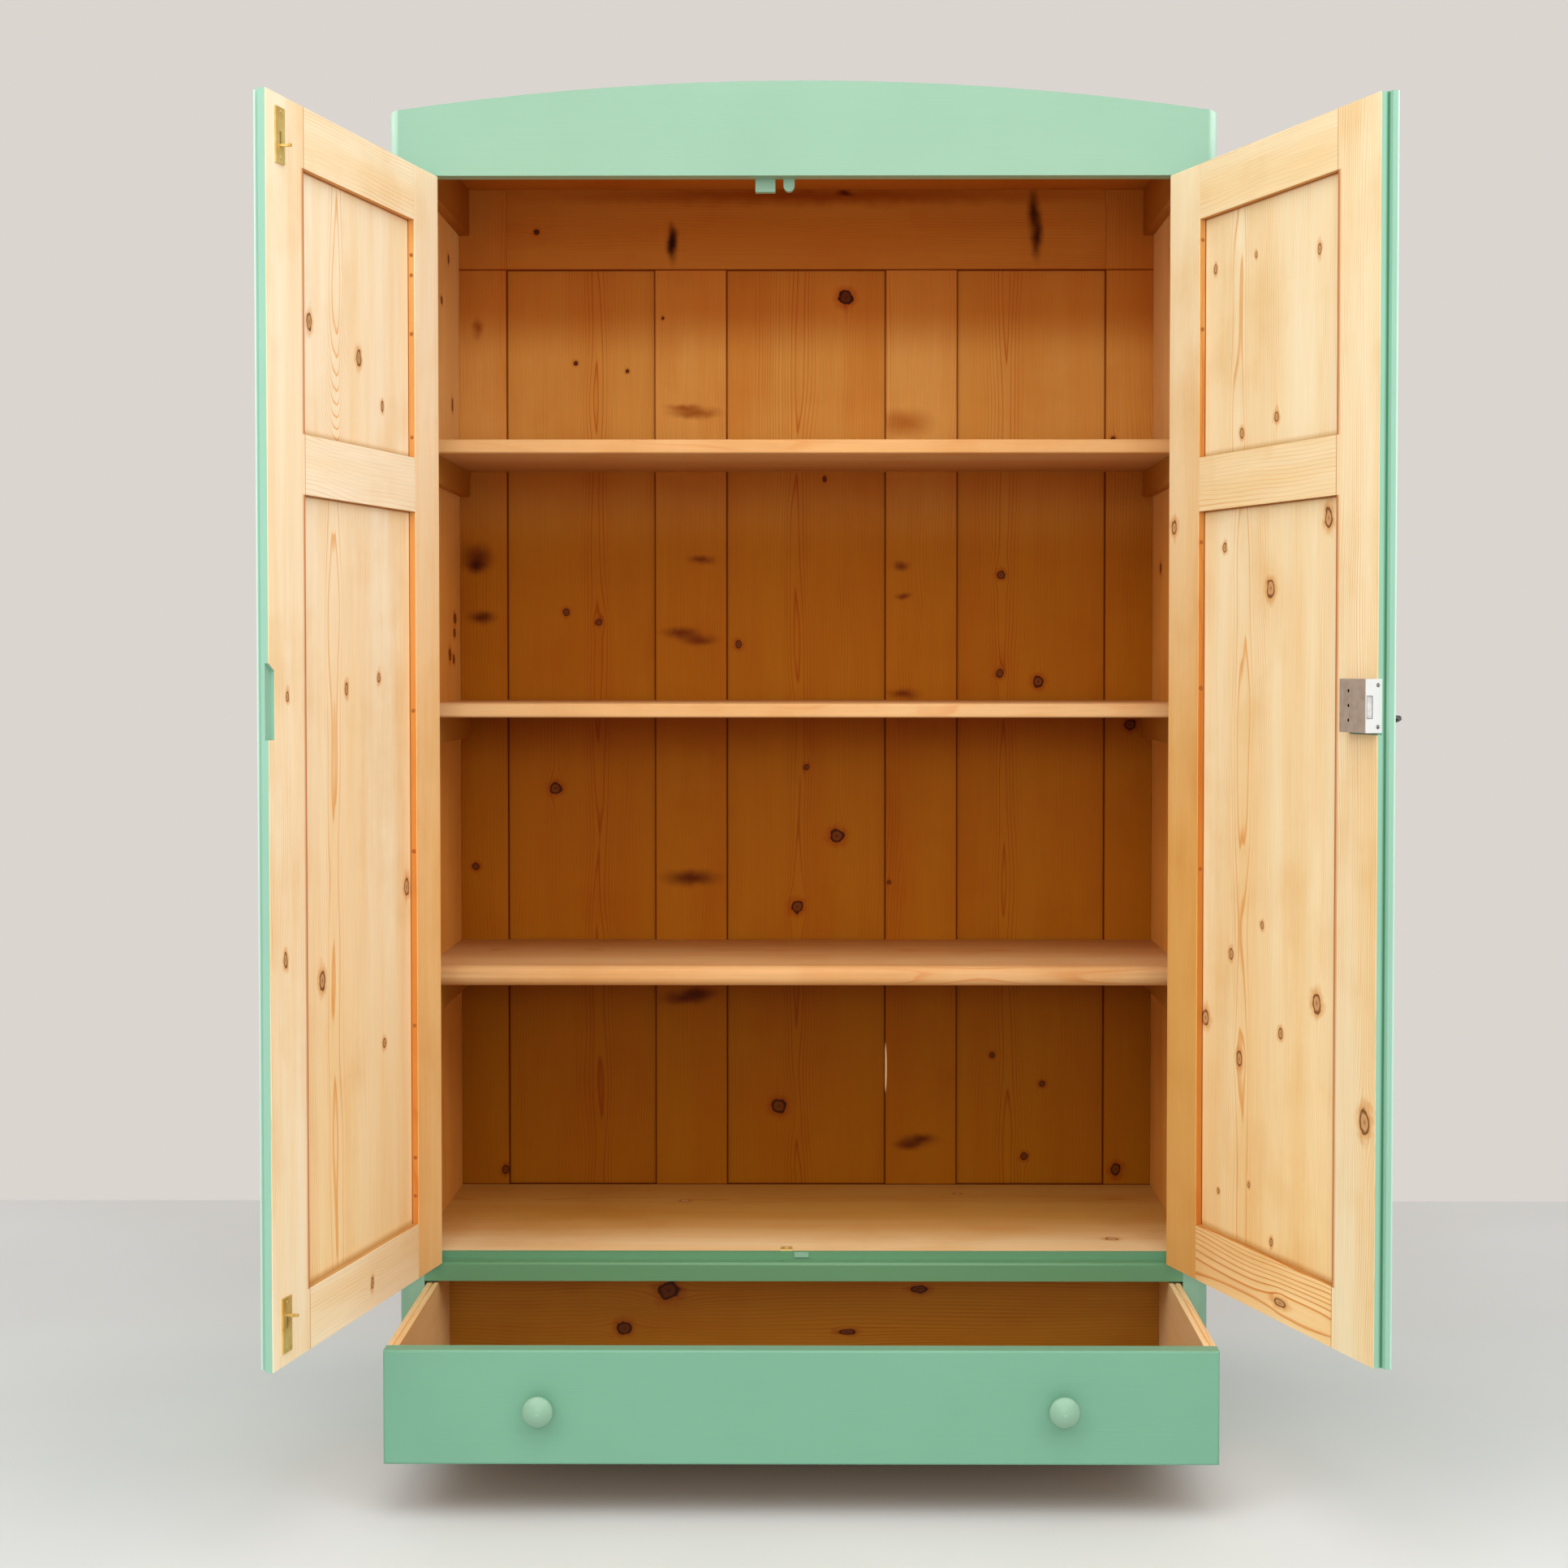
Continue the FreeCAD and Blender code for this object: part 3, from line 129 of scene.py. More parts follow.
class CupboardStudio(bpy.types.PropertyGroup):
    """Camera, floor and light."""
    lens: FloatProperty(name="Lens", description="Focal length of the camera", default=55.18, min=10.0,
                        unit="CAMERA")
    camera: FloatVectorProperty(name="Camera", description="Place of the camera", size=3,
                                default=(0.0302, -3.2481, 1.0599), subtype="TRANSLATION", unit="LENGTH")
    pitch: FloatProperty(name="Pitch", description="How far the camera looks down",
                         default=math.radians(1.57), subtype="ANGLE")
    yaw: FloatProperty(name="Yaw", description="How far the camera looks to the left",
                       default=math.radians(0.24), subtype="ANGLE")
    shift_across: FloatProperty(name="Shift across", description="Sideways shift of the picture",
                                default=-0.0202)
    shift_up: FloatProperty(name="Shift up", description="Upward shift of the picture", default=-0.0361)
    floor: colour_setting("Floor", "Plain pale floor", "#CFD2D2")
    surround: colour_setting("Surround", "Plain pale light all round", "#F2EBE6")
    surround_strength: FloatProperty(name="Surround strength", description="Strength of the light all round",
                                     default=0.8, min=0.0)
    key_power: FloatProperty(name="Key light", description="Power of the soft light above the front",
                             default=50.0, min=0.0, unit="POWER")
    fill_power: FloatProperty(name="Side lights", description="Power of each soft light beside the camera",
                              default=46.0, min=0.0, unit="POWER")
    front_power: FloatProperty(name="Front light", description="Power of the soft light behind the camera",
                               default=80.0, min=0.0, unit="POWER")


def add(tree, kind, *inputs, out=0, **settings):
    """Add one node with its settings and links, and give back one of its outputs, or with None the node.

    Kind is the kind of node, with its operation after a space if it has one. An input is a number, a
    colour or another node's output, in the order of the node's sockets, or else a dictionary of such by
    the names or numbers of the sockets.
    """
    kind, _, operation = kind.partition(" ")
    node = tree.nodes.new("ShaderNode" + kind)
    if operation:
        node.operation = operation
    for name, value in settings.items():
        setattr(node, name, value)
    for place, given in enumerate(inputs):
        for socket, value in (given if isinstance(given, dict) else {place: given}).items():
            if isinstance(value, bpy.types.NodeSocket):
                tree.links.new(value, node.inputs[socket])
            else:
                node.inputs[socket].default_value = value
    return node if out is None else node.outputs[out]


def set_ramp(node, stops):
    """Set the stops of a colour ramp to pairs of place and grey or colour, and give back its colour."""
    elements = node.color_ramp.elements
    while len(elements) < len(stops):
        elements.new(1.0)
    for element, (place, tone) in zip(elements, stops):
        element.position = place
        element.color = tone if isinstance(tone, list) else (tone, tone, tone, 1.0)
    return node.outputs[0]


def new_group(name, inputs, outputs):
    """Start a node group. Its inputs and outputs are given as a kind and the names of that kind."""
    tree = bpy.data.node_groups.new(name, "ShaderNodeTree")
    for direction, kinds in (("INPUT", inputs), ("OUTPUT", outputs)):
        for kind, sockets in kinds.items():
            for socket in sockets.split():
                tree.interface.new_socket(name=socket, in_out=direction, socket_type="NodeSocket" + kind)
    return tree, tree.nodes.new("NodeGroupInput").outputs, tree.nodes.new("NodeGroupOutput").inputs


def stretched_noise(tree, place, specks, detail, roughness=0.5):
    """Noise with this many specks to the metre in each direction."""
    stretched = add(tree, "VectorMath MULTIPLY", place, specks)
    return add(tree, "TexNoise",
               {"Vector": stretched, "Scale": 1.0, "Detail": detail, "Roughness": roughness})


def reach_along(tree, direction):
    """How far a place on the object lies along a direction."""
    place = add(tree, "TexCoord", out="Object")
    return add(tree, "VectorMath DOT_PRODUCT", place, direction, out="Value")


def beyond(tree, direction, start):
    """One where the object reaches past a start along a direction, and nought before it."""
    return add(tree, "Math GREATER_THAN", reach_along(tree, direction), start)


def inside(tree, *spans):
    """One where every value lies between its two limits, and nought elsewhere. None is no limit."""
    product = 1.0
    for value, low, high in spans:
        for operation, limit in (("GREATER_THAN", low), ("LESS_THAN", high)):
            if limit is not None:
                passed = add(tree, "Math " + operation, value, limit)
                product = add(tree, "Math MULTIPLY", product, passed)
    return product


def oval_share(tree, place, across, height, half_width, half_height):
    """Distance from the middle of an oval on the back, one on its rim. The sizes are in millimetres."""
    away = add(tree, "VectorMath SUBTRACT", place, (across * MM, 0.0, height * MM))
    size = (1 / (half_width * MM), 0.0, 1 / (half_height * MM))
    shares = add(tree, "VectorMath MULTIPLY", away, size)
    return add(tree, "VectorMath LENGTH", shares, out="Value")


def stain_and_shade_band(tree, wood, distance, width, tone):
    """Darken wood or paint by a tone near a line, the distance running from it: used for real stains, dirt
    and joints, and for painted shade.
    """
    amount = add(tree, "MapRange", distance, 0.0, width, 1.0, 0.0, **SMOOTH)
    return add(tree, "Mix", {0: amount, 6: wood, 7: linear(tone)}, **GLAZED)


def varied(tree, colour, pattern, *ends):
    """A colour that a pattern makes darker and lighter. Ends are two values of it and their strengths."""
    factor = add(tree, "MapRange", pattern, *ends)
    return add(tree, "VectorMath SCALE", {0: colour, "Scale": factor})


class Board:
    """Where a board lies, how its grain runs, and which pine it is.

    Its grain runs along, its width across, and out points from its heart side to its shown face.
    Fade is painted shade: it names a darker tone, the direction in which the board darkens where less light
    falls, and where that starts and ends.
    Raw names the tone of its unwaxed outer side, the direction of that side and where it begins.
    Arch is the middle of a long oval in the grain, and curve how fast the arches beside it close.
    """
    knots = ()
    tone = "fresh"
    ring = "#EFC086"
    knot_tint = "#FFFFFF"
    heart = seed = clear = arch = curve = 0.0
    gloss = 0.2
    fade = raw = None

    def __init__(self, corner, along, across, **choices):
        self.corner, self.along, self.across = corner, along, across
        self.out = along.cross(across)
        for name, choice in choices.items():
            setattr(self, name, choice)


def lay(node, along, across, **choices):
    """A board laid along the axes, with its place out of the face measured from the node itself."""
    board = Board(ORIGIN, along, across, **choices)
    low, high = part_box(node)
    board.corner = board.out * min(low.dot(board.out), high.dot(board.out))
    return board


def board_place(tree, board):
    """Coordinates along, across and out of a board, in metres, that stay with it when it moves."""
    place = add(tree, "TexCoord", out="Object")
    away = add(tree, "VectorMath SUBTRACT", place, board.corner)
    parts = [add(tree, "VectorMath DOT_PRODUCT", away, direction, out="Value")
             for direction in (board.along, board.across, board.out)]
    return add(tree, "CombineXYZ", *parts), parts


def knot_group():
    """One knot: how near it is, and how far it pushes the grain aside."""
    tree, given, result = new_group(
        "pine_knot", {"Vector": "Place Centre Squeeze", "Float": "Radius Share Shift"},
        {"Float": "Share Shift"})
    away = add(tree, "VectorMath SUBTRACT", given["Place"], given["Centre"])
    squeezed = add(tree, "VectorMath MULTIPLY", away, given["Squeeze"])
    distance = add(tree, "VectorMath LENGTH", squeezed, out="Value")
    share = add(tree, "Math DIVIDE", distance, given["Radius"])
    # The rim of a knot is uneven, in lumps of about a centimetre.
    uneven = add(tree, "TexNoise", {"Vector": given["Place"], "Scale": 90.0, "Detail": 1.0})
    factor = add(tree, "MapRange", uneven, 0.0, 1.0, 0.6, 1.4)
    rough_share = add(tree, "Math MULTIPLY", share, factor)
    nearest = add(tree, "Math MINIMUM", rough_share, given["Share"])
    tree.links.new(nearest, result["Share"])
    # The grain flows round it, furthest beside it and fading with the square of the distance.
    flow = add(tree, "VectorMath MULTIPLY", away, (0.3, 0.55, 0.0))
    reach = add(tree, "VectorMath LENGTH", flow, out="Value")
    spread = add(tree, "Math DIVIDE", reach, given["Radius"])
    squared = add(tree, "Math MULTIPLY", spread, spread)
    negative = add(tree, "Math MULTIPLY", squared, -1.0)
    falloff = add(tree, "Math EXPONENT", negative)
    sideways = add(tree, "SeparateXYZ", away, out=1)
    shift = add(tree, "Math MULTIPLY_ADD", sideways, falloff, given["Shift"])
    tree.links.new(shift, result["Shift"])


def pine_group(pine):
    """Flat-sawn pine: growth rings cut by the face, fibre, bands of tone and the knots' colour."""
    tree, given, result = new_group(
        "flat_sawn_pine",
        {"Vector": "Place Seed", "Float": "Share Shift Heart Clear Arch Curve", "Color": "Tone Ring Knot"},
        {"Color": "Colour", "Float": "Height"})
    place = given["Place"]
    seeded = add(tree, "VectorMath ADD", place, given["Seed"])
    along, across, out = add(tree, "SeparateXYZ", place, out=None).outputs

    # The heart wanders a little, and the log swells and shrinks: that closes the rings to long ovals.
    wave = stretched_noise(tree, seeded, (2.2, 7.0, 7.0), 2.0)
    sway = add(tree, "MapRange", wave, 0.0, 1.0, -16 * MM, 16 * MM, clamp=False)
    swelling = stretched_noise(tree, seeded, (3.0, 0.0, 0.0), 1.0)
    swell = add(tree, "MapRange", swelling, 0.0, 1.0, -12 * MM, 12 * MM, clamp=False)
    shifted = add(tree, "Math SUBTRACT", across, given["Shift"])
    from_heart = add(tree, "Math SUBTRACT", shifted, given["Heart"])
    swayed = add(tree, "Math ADD", from_heart, sway)
    depth = add(tree, "Math ADD", out, 6 * MM)
    depth_squared = add(tree, "Math MULTIPLY", depth, depth)
    both = add(tree, "Math MULTIPLY_ADD", swayed, swayed, depth_squared)
    radius = add(tree, "Math SQRT", both)
    uneven = add(tree, "Math ADD", radius, swell)
    rise = add(tree, "Math SUBTRACT", along, given["Arch"])
    away = add(tree, "Math ABSOLUTE", rise)
    bowed = add(tree, "Math POWER", away, 3.0)
    swollen = add(tree, "Math MULTIPLY_ADD", bowed, given["Curve"], uneven)

    # Good and bad years lie wide and narrow, and each ends in a dark line of latewood.
    years = stretched_noise(tree, seeded, (0.6, 45.0, 45.0), 1.0)
    ring = add(tree, "Math DIVIDE", swollen, pine.ring_spacing)
    count = add(tree, "Math MULTIPLY_ADD", years, 1.6, ring)
    year = add(tree, "Math FRACT", count)
    late = set_ramp(add(tree, "ValToRGB", year, out=None),
                    [(0.0, 0.05), (0.3, 0.0), (0.7, 0.08), (0.87, 0.85), (0.94, 0.95), (1.0, 0.05)])

    # The lines are clear near the heart and come and go elsewhere.
    beside = add(tree, "Math ABSOLUTE", swayed)
    near = add(tree, "MapRange", beside, 10 * MM, 34 * MM, 0.9, 0.0, **SMOOTH)
    patchy = stretched_noise(tree, seeded, (2.5, 22.0, 22.0), 2.0)
    patch = add(tree, "MapRange", patchy, 0.47, 0.7, 0.03, 0.65)
    plain = add(tree, "Math ADD", patch, given["Clear"])
    strength = add(tree, "Math MAXIMUM", plain, near)
    line = add(tree, "Math MULTIPLY", late, strength)

    # Fibre is drawn nearly two millimetres wide, far coarser than it is, so that it shows.
    bands = stretched_noise(tree, seeded, (1.1, 13.0, 13.0), 3.0, 0.6)
    fibre = stretched_noise(tree, seeded, (12.0, 560.0, 560.0), 2.0)
    dirt = add(tree, "TexNoise", {"Vector": seeded, "Scale": 7.0, "Detail": 4.0, "Roughness": 0.55})
    darker = add(tree, "Mix", {0: 1.0, 6: given["Tone"], 7: linear("#FAEBD4")}, **GLAZED)
    band = add(tree, "MapRange", bands, 0.36, 0.68)
    toned = add(tree, "Mix", {0: band, 6: given["Tone"], 7: darker}, **BLENDED)
    smoky = add(tree, "MapRange", dirt, 0.5, 0.78, 0.0, 0.6)
    grimy = add(tree, "Mix", {0: smoky, 6: toned, 7: linear("#F0DDBC")}, **GLAZED)
    ringed = add(tree, "Mix", {0: line, 6: grimy, 7: given["Ring"]}, **GLAZED)
    fibred = varied(tree, ringed, fibre, 0.3, 0.7, 0.96, 1.03)

    # A knot has a dark rim, a paler inside and a warm halo in the wood round it.
    halo = add(tree, "MapRange", given["Share"], 0.9, 2.2, 0.7, 0.0, **SMOOTH)
    haloed = add(tree, "Mix", {0: halo, 6: fibred, 7: linear("#E2AE72")}, **GLAZED)
    heart = set_ramp(add(tree, "ValToRGB", given["Share"], out=None),
                     [(0.0, linear("#7A5430")), (0.2, linear("#C29466")), (0.58, linear("#CFA26E")),
                      (0.76, linear("#8E6036")), (0.92, linear("#6A4322"))])
    tinted = add(tree, "Mix", {0: 1.0, 6: heart, 7: given["Knot"]}, **GLAZED)
    within = add(tree, "MapRange", given["Share"], 0.9, 1.08, 1.0, 0.0, **SMOOTH)
    knotted = add(tree, "Mix", {0: within, 6: haloed, 7: tinted}, **BLENDED)
    tree.links.new(knotted, result["Colour"])
    height = add(tree, "Math MULTIPLY_ADD", fibre, 0.5, line)
    tree.links.new(height, result["Height"])


def knot_field(tree, board, place):
    """Chain the board's knots into one field of nearness and one of sideways push."""
    share, shift = NO_KNOT, 0.0
    for along, across, radius, stretch, *out in board.knots:
        knot = add(tree, "Group", {
            "Place": place, "Centre": (along * MM, across * MM, out[0] * MM if out else 0.0),
            "Squeeze": (1 / stretch, 1.0, 1.0 if out else 0.0), "Radius": radius * MM,
            "Share": share, "Shift": shift}, out=None, node_tree=bpy.data.node_groups["pine_knot"]).outputs
        share, shift = knot["Share"], knot["Shift"]
    return share, shift


def pine_surface(tree, board, place, pine):
    """Colour and height of waxed pine on this board."""
    share, shift = knot_field(tree, board, place)
    tone = getattr(pine, board.tone)
    # Painted shade: the tone darkens along a direction, towards where less light reaches.
    if board.fade:
        dark, direction, start, end = board.fade
        amount = add(tree, "MapRange", reach_along(tree, direction), start, end, **SMOOTH)
        tone = add(tree, "Mix", {0: amount, 6: tone, 7: getattr(pine, dark)}, **BLENDED)
    if board.raw:
        plain, direction, start = board.raw
        outside = beyond(tree, direction, start)
        tone = add(tree, "Mix", {0: outside, 6: tone, 7: getattr(pine, plain)}, **BLENDED)
    surface = add(tree, "Group", {
        "Place": place, "Share": share, "Shift": shift, "Heart": board.heart * MM, "Clear": board.clear,
        "Arch": board.arch * MM, "Curve": board.curve, "Ring": linear(board.ring), "Tone": tone,
        "Seed": (board.seed * 0.37, board.seed * 0.73, board.seed * 0.19),
        "Knot": linear(board.knot_tint)}, out=None, node_tree=bpy.data.node_groups["flat_sawn_pine"])
    return surface.outputs["Colour"], surface.outputs["Height"]


def paint_surface(tree, place, paint, coat):
    """Colour and height of eggshell paint laid on with a brush along the board."""
    # One mark is drawn wider than that of a bristle, so that it shows.
    specks = (1 / paint.brush_length, 1 / paint.brush_width, 1 / paint.brush_width)
    marks = stretched_noise(tree, place, specks, 3.0)
    cloud = add(tree, "TexNoise", {"Vector": place, "Scale": 5.0, "Detail": 3.0})
    both = add(tree, "Math MULTIPLY_ADD", marks, 0.35, cloud)
    return varied(tree, getattr(paint, coat)[:3], both, 0.45, 0.95, 0.96, 1.02), marks


def start_material(name):
    """An empty node material."""
    material = bpy.data.materials.new(name)
    material.use_nodes = True
    material.node_tree.nodes.clear()
    return material, material.node_tree


def close_material(tree, colour, roughness, height, depth, gloss=0.5, metallic=0.0):
    """Join colour, roughness, gloss and a bump of the given real depth to one shader."""
    bump = add(tree, "Bump", {"Height": height, "Distance": depth, "Strength": 1.0})
    shader = add(tree, "BsdfPrincipled", {"Base Color": colour, "Roughness": roughness, "Normal": bump,
                                          "Specular IOR Level": gloss, "Metallic": metallic})
    add(tree, "OutputMaterial", {"Surface": shader}, out=None)


def eggshell_paint_on_pine(board, scene, coat, name, rubbed=None):
    """Alkyd eggshell brushed on pine: an even soft green with faint strokes and a low sheen.

    Rubbed gives half the board's length, and then its rounded ends get a painted highlight, paler where they
    catch the light.
    """
    material, tree = start_material(name)
    place, parts = board_place(tree, board)
    colour, marks = paint_surface(tree, place, scene.cupboard_paint, coat)
    if rubbed:
        reach = add(tree, "Math ABSOLUTE", parts[0])
        thin = add(tree, "MapRange", reach, rubbed - 14 * MM, rubbed - 3 * MM, 0.0, 0.7, **SMOOTH)
        colour = add(tree, "Mix", {0: thin, 6: colour, 7: scene.cupboard_paint.lip}, **BLENDED)
    close_material(tree, colour, PAINT_ROUGHNESS, marks, depth=0.12 * MM, gloss=0.45)
    return material


def waxed_pine(board, scene, name, wear_and_shade=None):
    """Planed pine rubbed with wax: arching dark rings, straight fibre, knots and a soft sheen."""
    material, tree = start_material(name)
    wood, height = pine_surface(tree, board, board_place(tree, board)[0], scene.cupboard_pine)
    if wear_and_shade:
        wood = wear_and_shade(tree, wood)
    close_material(tree, wood, WAX_ROUGHNESS, height, depth=0.06 * MM, gloss=board.gloss)
    return material


def pine_painted_outside(board, scene, coat, name, bare, wear_and_shade=None, lip=None):
    """The same board with paint on its outer side: soft green up to the arris, bare waxed wood within."""
    material, tree = start_material(name)
    place = board_place(tree, board)[0]
    painted, marks = paint_surface(tree, place, scene.cupboard_paint, coat)
    if lip:
        painted = lip(tree, painted)
    wood, height = pine_surface(tree, board, place, scene.cupboard_pine)
    if wear_and_shade:
        wood = wear_and_shade(tree, wood)
    mask = bare(tree)
    colour = add(tree, "Mix", {0: mask, 6: painted, 7: wood}, **BLENDED)
    roughness = add(tree, "MapRange", mask, 0.0, 1.0, PAINT_ROUGHNESS, 0.5)
    relief = add(tree, "Mix", {0: mask, 2: marks, 3: height}, data_type="FLOAT")
    close_material(tree, colour, roughness, relief, depth=0.1 * MM, gloss=0.25)
    return material


def old_metal(name, colour, roughness, spot_size, spot_tone, metallic, sunk=None):
    """Handled metal: the given colour with duller, darker spots where fingers never rub it.

    Sunk gives a direction, how far along it the metal lies deep in its slot and the heights between
    which it does: there it is painted near black, as painted shade.
    """
    material, tree = start_material(name)
    place = add(tree, "TexCoord", out="Object")
    cloud = add(tree, "TexNoise", {"Vector": place, "Scale": 1 / spot_size, "Detail": 4.0})
    dull = add(tree, "MapRange", cloud, 0.42, 0.68)
    tint = add(tree, "Mix", {0: dull, 6: colour, 7: linear(spot_tone)}, **GLAZED)
    if sunk:
        direction, limit, foot, head = sunk
        deep = inside(tree, (reach_along(tree, direction), None, limit), (reach_along(tree, Z), foot, head))
        tint = add(tree, "Mix", {0: deep, 6: tint, 7: linear("#2A2216")}, **BLENDED)
    rough = add(tree, "MapRange", cloud, 0.0, 1.0, roughness - 0.1, roughness + 0.15)
    close_material(tree, tint, rough, cloud, depth=0.03 * MM, metallic=metallic)
    return material


def dress(material, *nodes):
    """Give CAD nodes one material."""
    for node in nodes:
        mesh = NODES[node].data
        mesh.materials.clear()
        mesh.materials.append(material)


def soften_edges(width, *nodes):
    """Take the sharpness off the edges of wooden nodes. The width is in millimetres."""
    for node in nodes:
        weld = NODES[node].modifiers.new("join_corners", "WELD")
        weld.merge_threshold = 0.02 * MM
        bevel = NODES[node].modifiers.new("eased_edges", "BEVEL")
        bevel.width = width * MM
        bevel.segments = 2
        bevel.limit_method = "ANGLE"
        bevel.angle_limit = math.radians(35)
        bevel.harden_normals = True


def new_object(name, data):
    """Put a new object with this mesh, lamp or camera in the scene."""
    thing = bpy.data.objects.new(name, data)
    bpy.context.scene.collection.objects.link(thing)
    return thing


def span(node, pin, direction):
    """Least and greatest reach of a node's points from a pin along a direction."""
    reaches = [(vertex.co - pin).dot(direction) for vertex in NODES[node].data.vertices]
    return min(reaches), max(reaches)


# Knots: place along the grain, place across it, radius and stretch along the grain, in millimetres.
# Uprights are measured by height and X, level boards by X and height or depth.
UPRIGHT_KNOTS = {
    "back_panel_left": [(865, -386, 9, 1.0), (1135, -369, 5, 1.2), (1120, -319, 5, 1.1),
                        (1517, -353, 3.5, 1.1), (1505, -274, 3, 1.1)],
    "back_panel_middle": [(1617, 61, 11, 1.0), (1340, 28, 3, 1.4), (1086, -104, 5, 1.3), (897, 0, 4, 1.2),
                          (791, 47, 11, 1.0), (682, -14, 9, 1.1), (373, -42, 11, 1.0)],
    "back_panel_right": [(1193, 299, 6, 1.1), (1042, 298, 6, 1.1), (1029, 357, 8, 1.1), (452, 287, 4, 1.2),
                         (408, 364, 5, 1.0), (295, 337, 6, 1.0)],
    "back_muntin_left": [(1585, -219, 2.5, 1.0)],
    "back_muntin_right": [(720, 128, 3, 1.0)],
    "back_stile_left": [(744, -508, 6, 0.9), (275, -464, 6, 1.2)],
    "back_stile_right": [(963, 498, 9, 0.9), (276, 478, 8, 1.2), (1400, 470, 4, 1.3)],
}
# Those of the sides are branches cut lengthwise, measured by height and by depth with a minus sign.
SIDE_KNOTS = {
    "left": [(1125, -390, 13, 0.6), (1103, -385, 11, 0.6), (1070, -342, 12, 0.8), (1063, -378, 10, 0.7),
             (1658, -342, 8, 0.8), (1587, -276, 9, 0.6), (1445, -374, 8, 1.2)],
    "right": [(1199, -353, 10, 0.8)],
}
LEVEL_KNOTS = {
    "back_top_rail": [(-412, 1716, 4, 1.0)],
    "drawer_back": [(-190, 178, 12, 1.2), (-252, 125, 9, 1.2), (160, 180, 5, 2.5), (60, 120, 4, 3.0)],
    "floor_board": [(-180, 330, 6, 1.2), (430, 95, 7, 1.2), (230, 380, 5, 1.1)],
}
# Those of the doors are measured by height and reach from the hinge pin, on rails the other way round.
DOOR_KNOTS = {
    "left_door_upper_panel": [(1463, 386, 7, 1.6), (1438, 243, 7, 1.5), (1385, 170, 4, 1.6)],
    "left_door_lower_panel": [(1040, 185, 5, 1.3), (1026, 285, 5, 1.6), (765, 98, 8, 1.6),
                              (675, 360, 8, 1.6), (571, 173, 5, 1.3)],
    "left_door_meeting_stile": [(1019, 470, 4, 1.6), (715, 479, 5, 1.8)],
    "left_door_bottom_rail": [(236, 277, 7, 0.6)],
    "right_door_upper_panel": [(1569, 110, 4, 1.5), (1571, 214, 3, 1.5), (1553, 364, 4, 1.8),
                               (1363, 266, 5, 1.3), (1350, 180, 5, 1.3)],
    "right_door_lower_panel": [(1231, 388, 8, 1.5), (1207, 137, 5, 1.3), (1151, 254, 9, 1.2),
                               (683, 159, 5, 1.4), (729, 237, 4, 1.3), (648, 367, 10, 1.2),
                               (592, 92, 9, 1.2), (599, 283, 5, 1.5), (551, 181, 7, 1.4),
                               (334, 263, 4, 1.3), (395, 207, 3, 1.2), (371, 128, 3, 1.2)],
    "right_door_hinge_stile": [(1239, 17, 7, 1.4)],
    "right_door_meeting_stile": [(526, 488, 11, 1.4)],
    "right_door_bottom_rail": [(300, 268, 5, 3.0)],
}

# Where the heart of the log lies across a board, in the same millimetres.
HEARTS = {
    "back_panel_left": -321, "back_panel_middle": -12, "back_panel_right": 308,
    "left_door_upper_panel": 312, "left_door_lower_panel": 323, "left_door_hinge_stile": -60,
    "left_door_meeting_stile": 590, "right_door_upper_panel": 172, "right_door_lower_panel": 185,
    "right_door_hinge_stile": -60, "right_door_meeting_stile": 590, "right_door_bottom_rail": 262,
}

# Stains on the back, and one band of painted shade: X and height of the middle, half width and half height in
# millimetres, and tone.
STAINS_AND_SHADE = {
    "back_muntin_left": [(-172, 1440, 40, 9, "#BA9468"), (-186, 1449, 30, 6, "#C8A070"),
                         (-160, 1216, 22, 8, "#B08A60"), (-192, 1104, 30, 9, "#A8825A"),
                         (-166, 1094, 30, 9, "#B08A60"), (-176, 727, 46, 13, "#8E6A46"),
                         (-188, 541, 36, 11, "#A07850"), (-166, 549, 30, 9, "#A07850")],
    "back_muntin_right": [(146, 1206, 14, 8, "#B08A60"), (148, 1160, 12, 6, "#B08A60"),
                          (150, 1010, 24, 9, "#B08A60"), (176, 322, 28, 10, "#9A744C"),
                          (158, 314, 24, 8, "#A8825A"), (150, 1425, 44, 22, "#D6B48A")],
    "back_stile_left": [(-506, 1218, 26, 24, "#9A744C"), (-506, 1206, 16, 12, "#8E6A46"),
                        (-497, 1128, 22, 10, "#8E6A46"), (-503, 1570, 9, 16, "#C8A070")],
    "back_top_rail": [(-205, 1697, 9, 30, "#5A3A1E"), (-204, 1706, 7, 22, "#8E6A46"),
                      (348, 1746, 11, 40, "#6A4626"), (353, 1708, 9, 36, "#6A4626"),
                      # The long band across the top of the top rail is painted shade under the crown board.
                      (60, 1775, 16, 5, "#8E6A46"), (0, 1772, 420, 16, "#C8A070")],
    "back_bottom_rail": [(-464, 275, 18, 16, "#8E6A46"), (478, 276, 22, 18, "#8E6A46")],
}
# The chip in the edge of the right muntin: height of its middle, half width and half height.
CHIP = (434, 2.2, 37)
# Above this height, in metres, lies the unwaxed upper side of the top board.
TOP_BOARD_OUTSIDE = 1.79

SHELVES = ("shelf_upper", "shelf_middle", "shelf_lower")
DOOR_PIECES = ("hinge_stile", "meeting_stile", "top_rail", "middle_rail", "bottom_rail",
               "upper_panel", "lower_panel")

# The panel openings of a door, in millimetres from its pin and above the floor.
OPENING_REACH = (83.5, 419.25)
OPENING_LEVELS = {"upper_panel": (1326.5, 1637.0), "lower_panel": (317.0, 1256.0)}

# Heads of the panel pins in the edges of the hinge stiles: heights, and radius and depth of them all.
PIN_HEIGHTS = {"left": (1591, 1565, 1488, 1353, 995, 810, 580, 405, 354),
               "right": (1610, 1494, 1216, 1025, 787)}
PIN_RADIUS, PIN_DEPTH = 1.8, 21.5

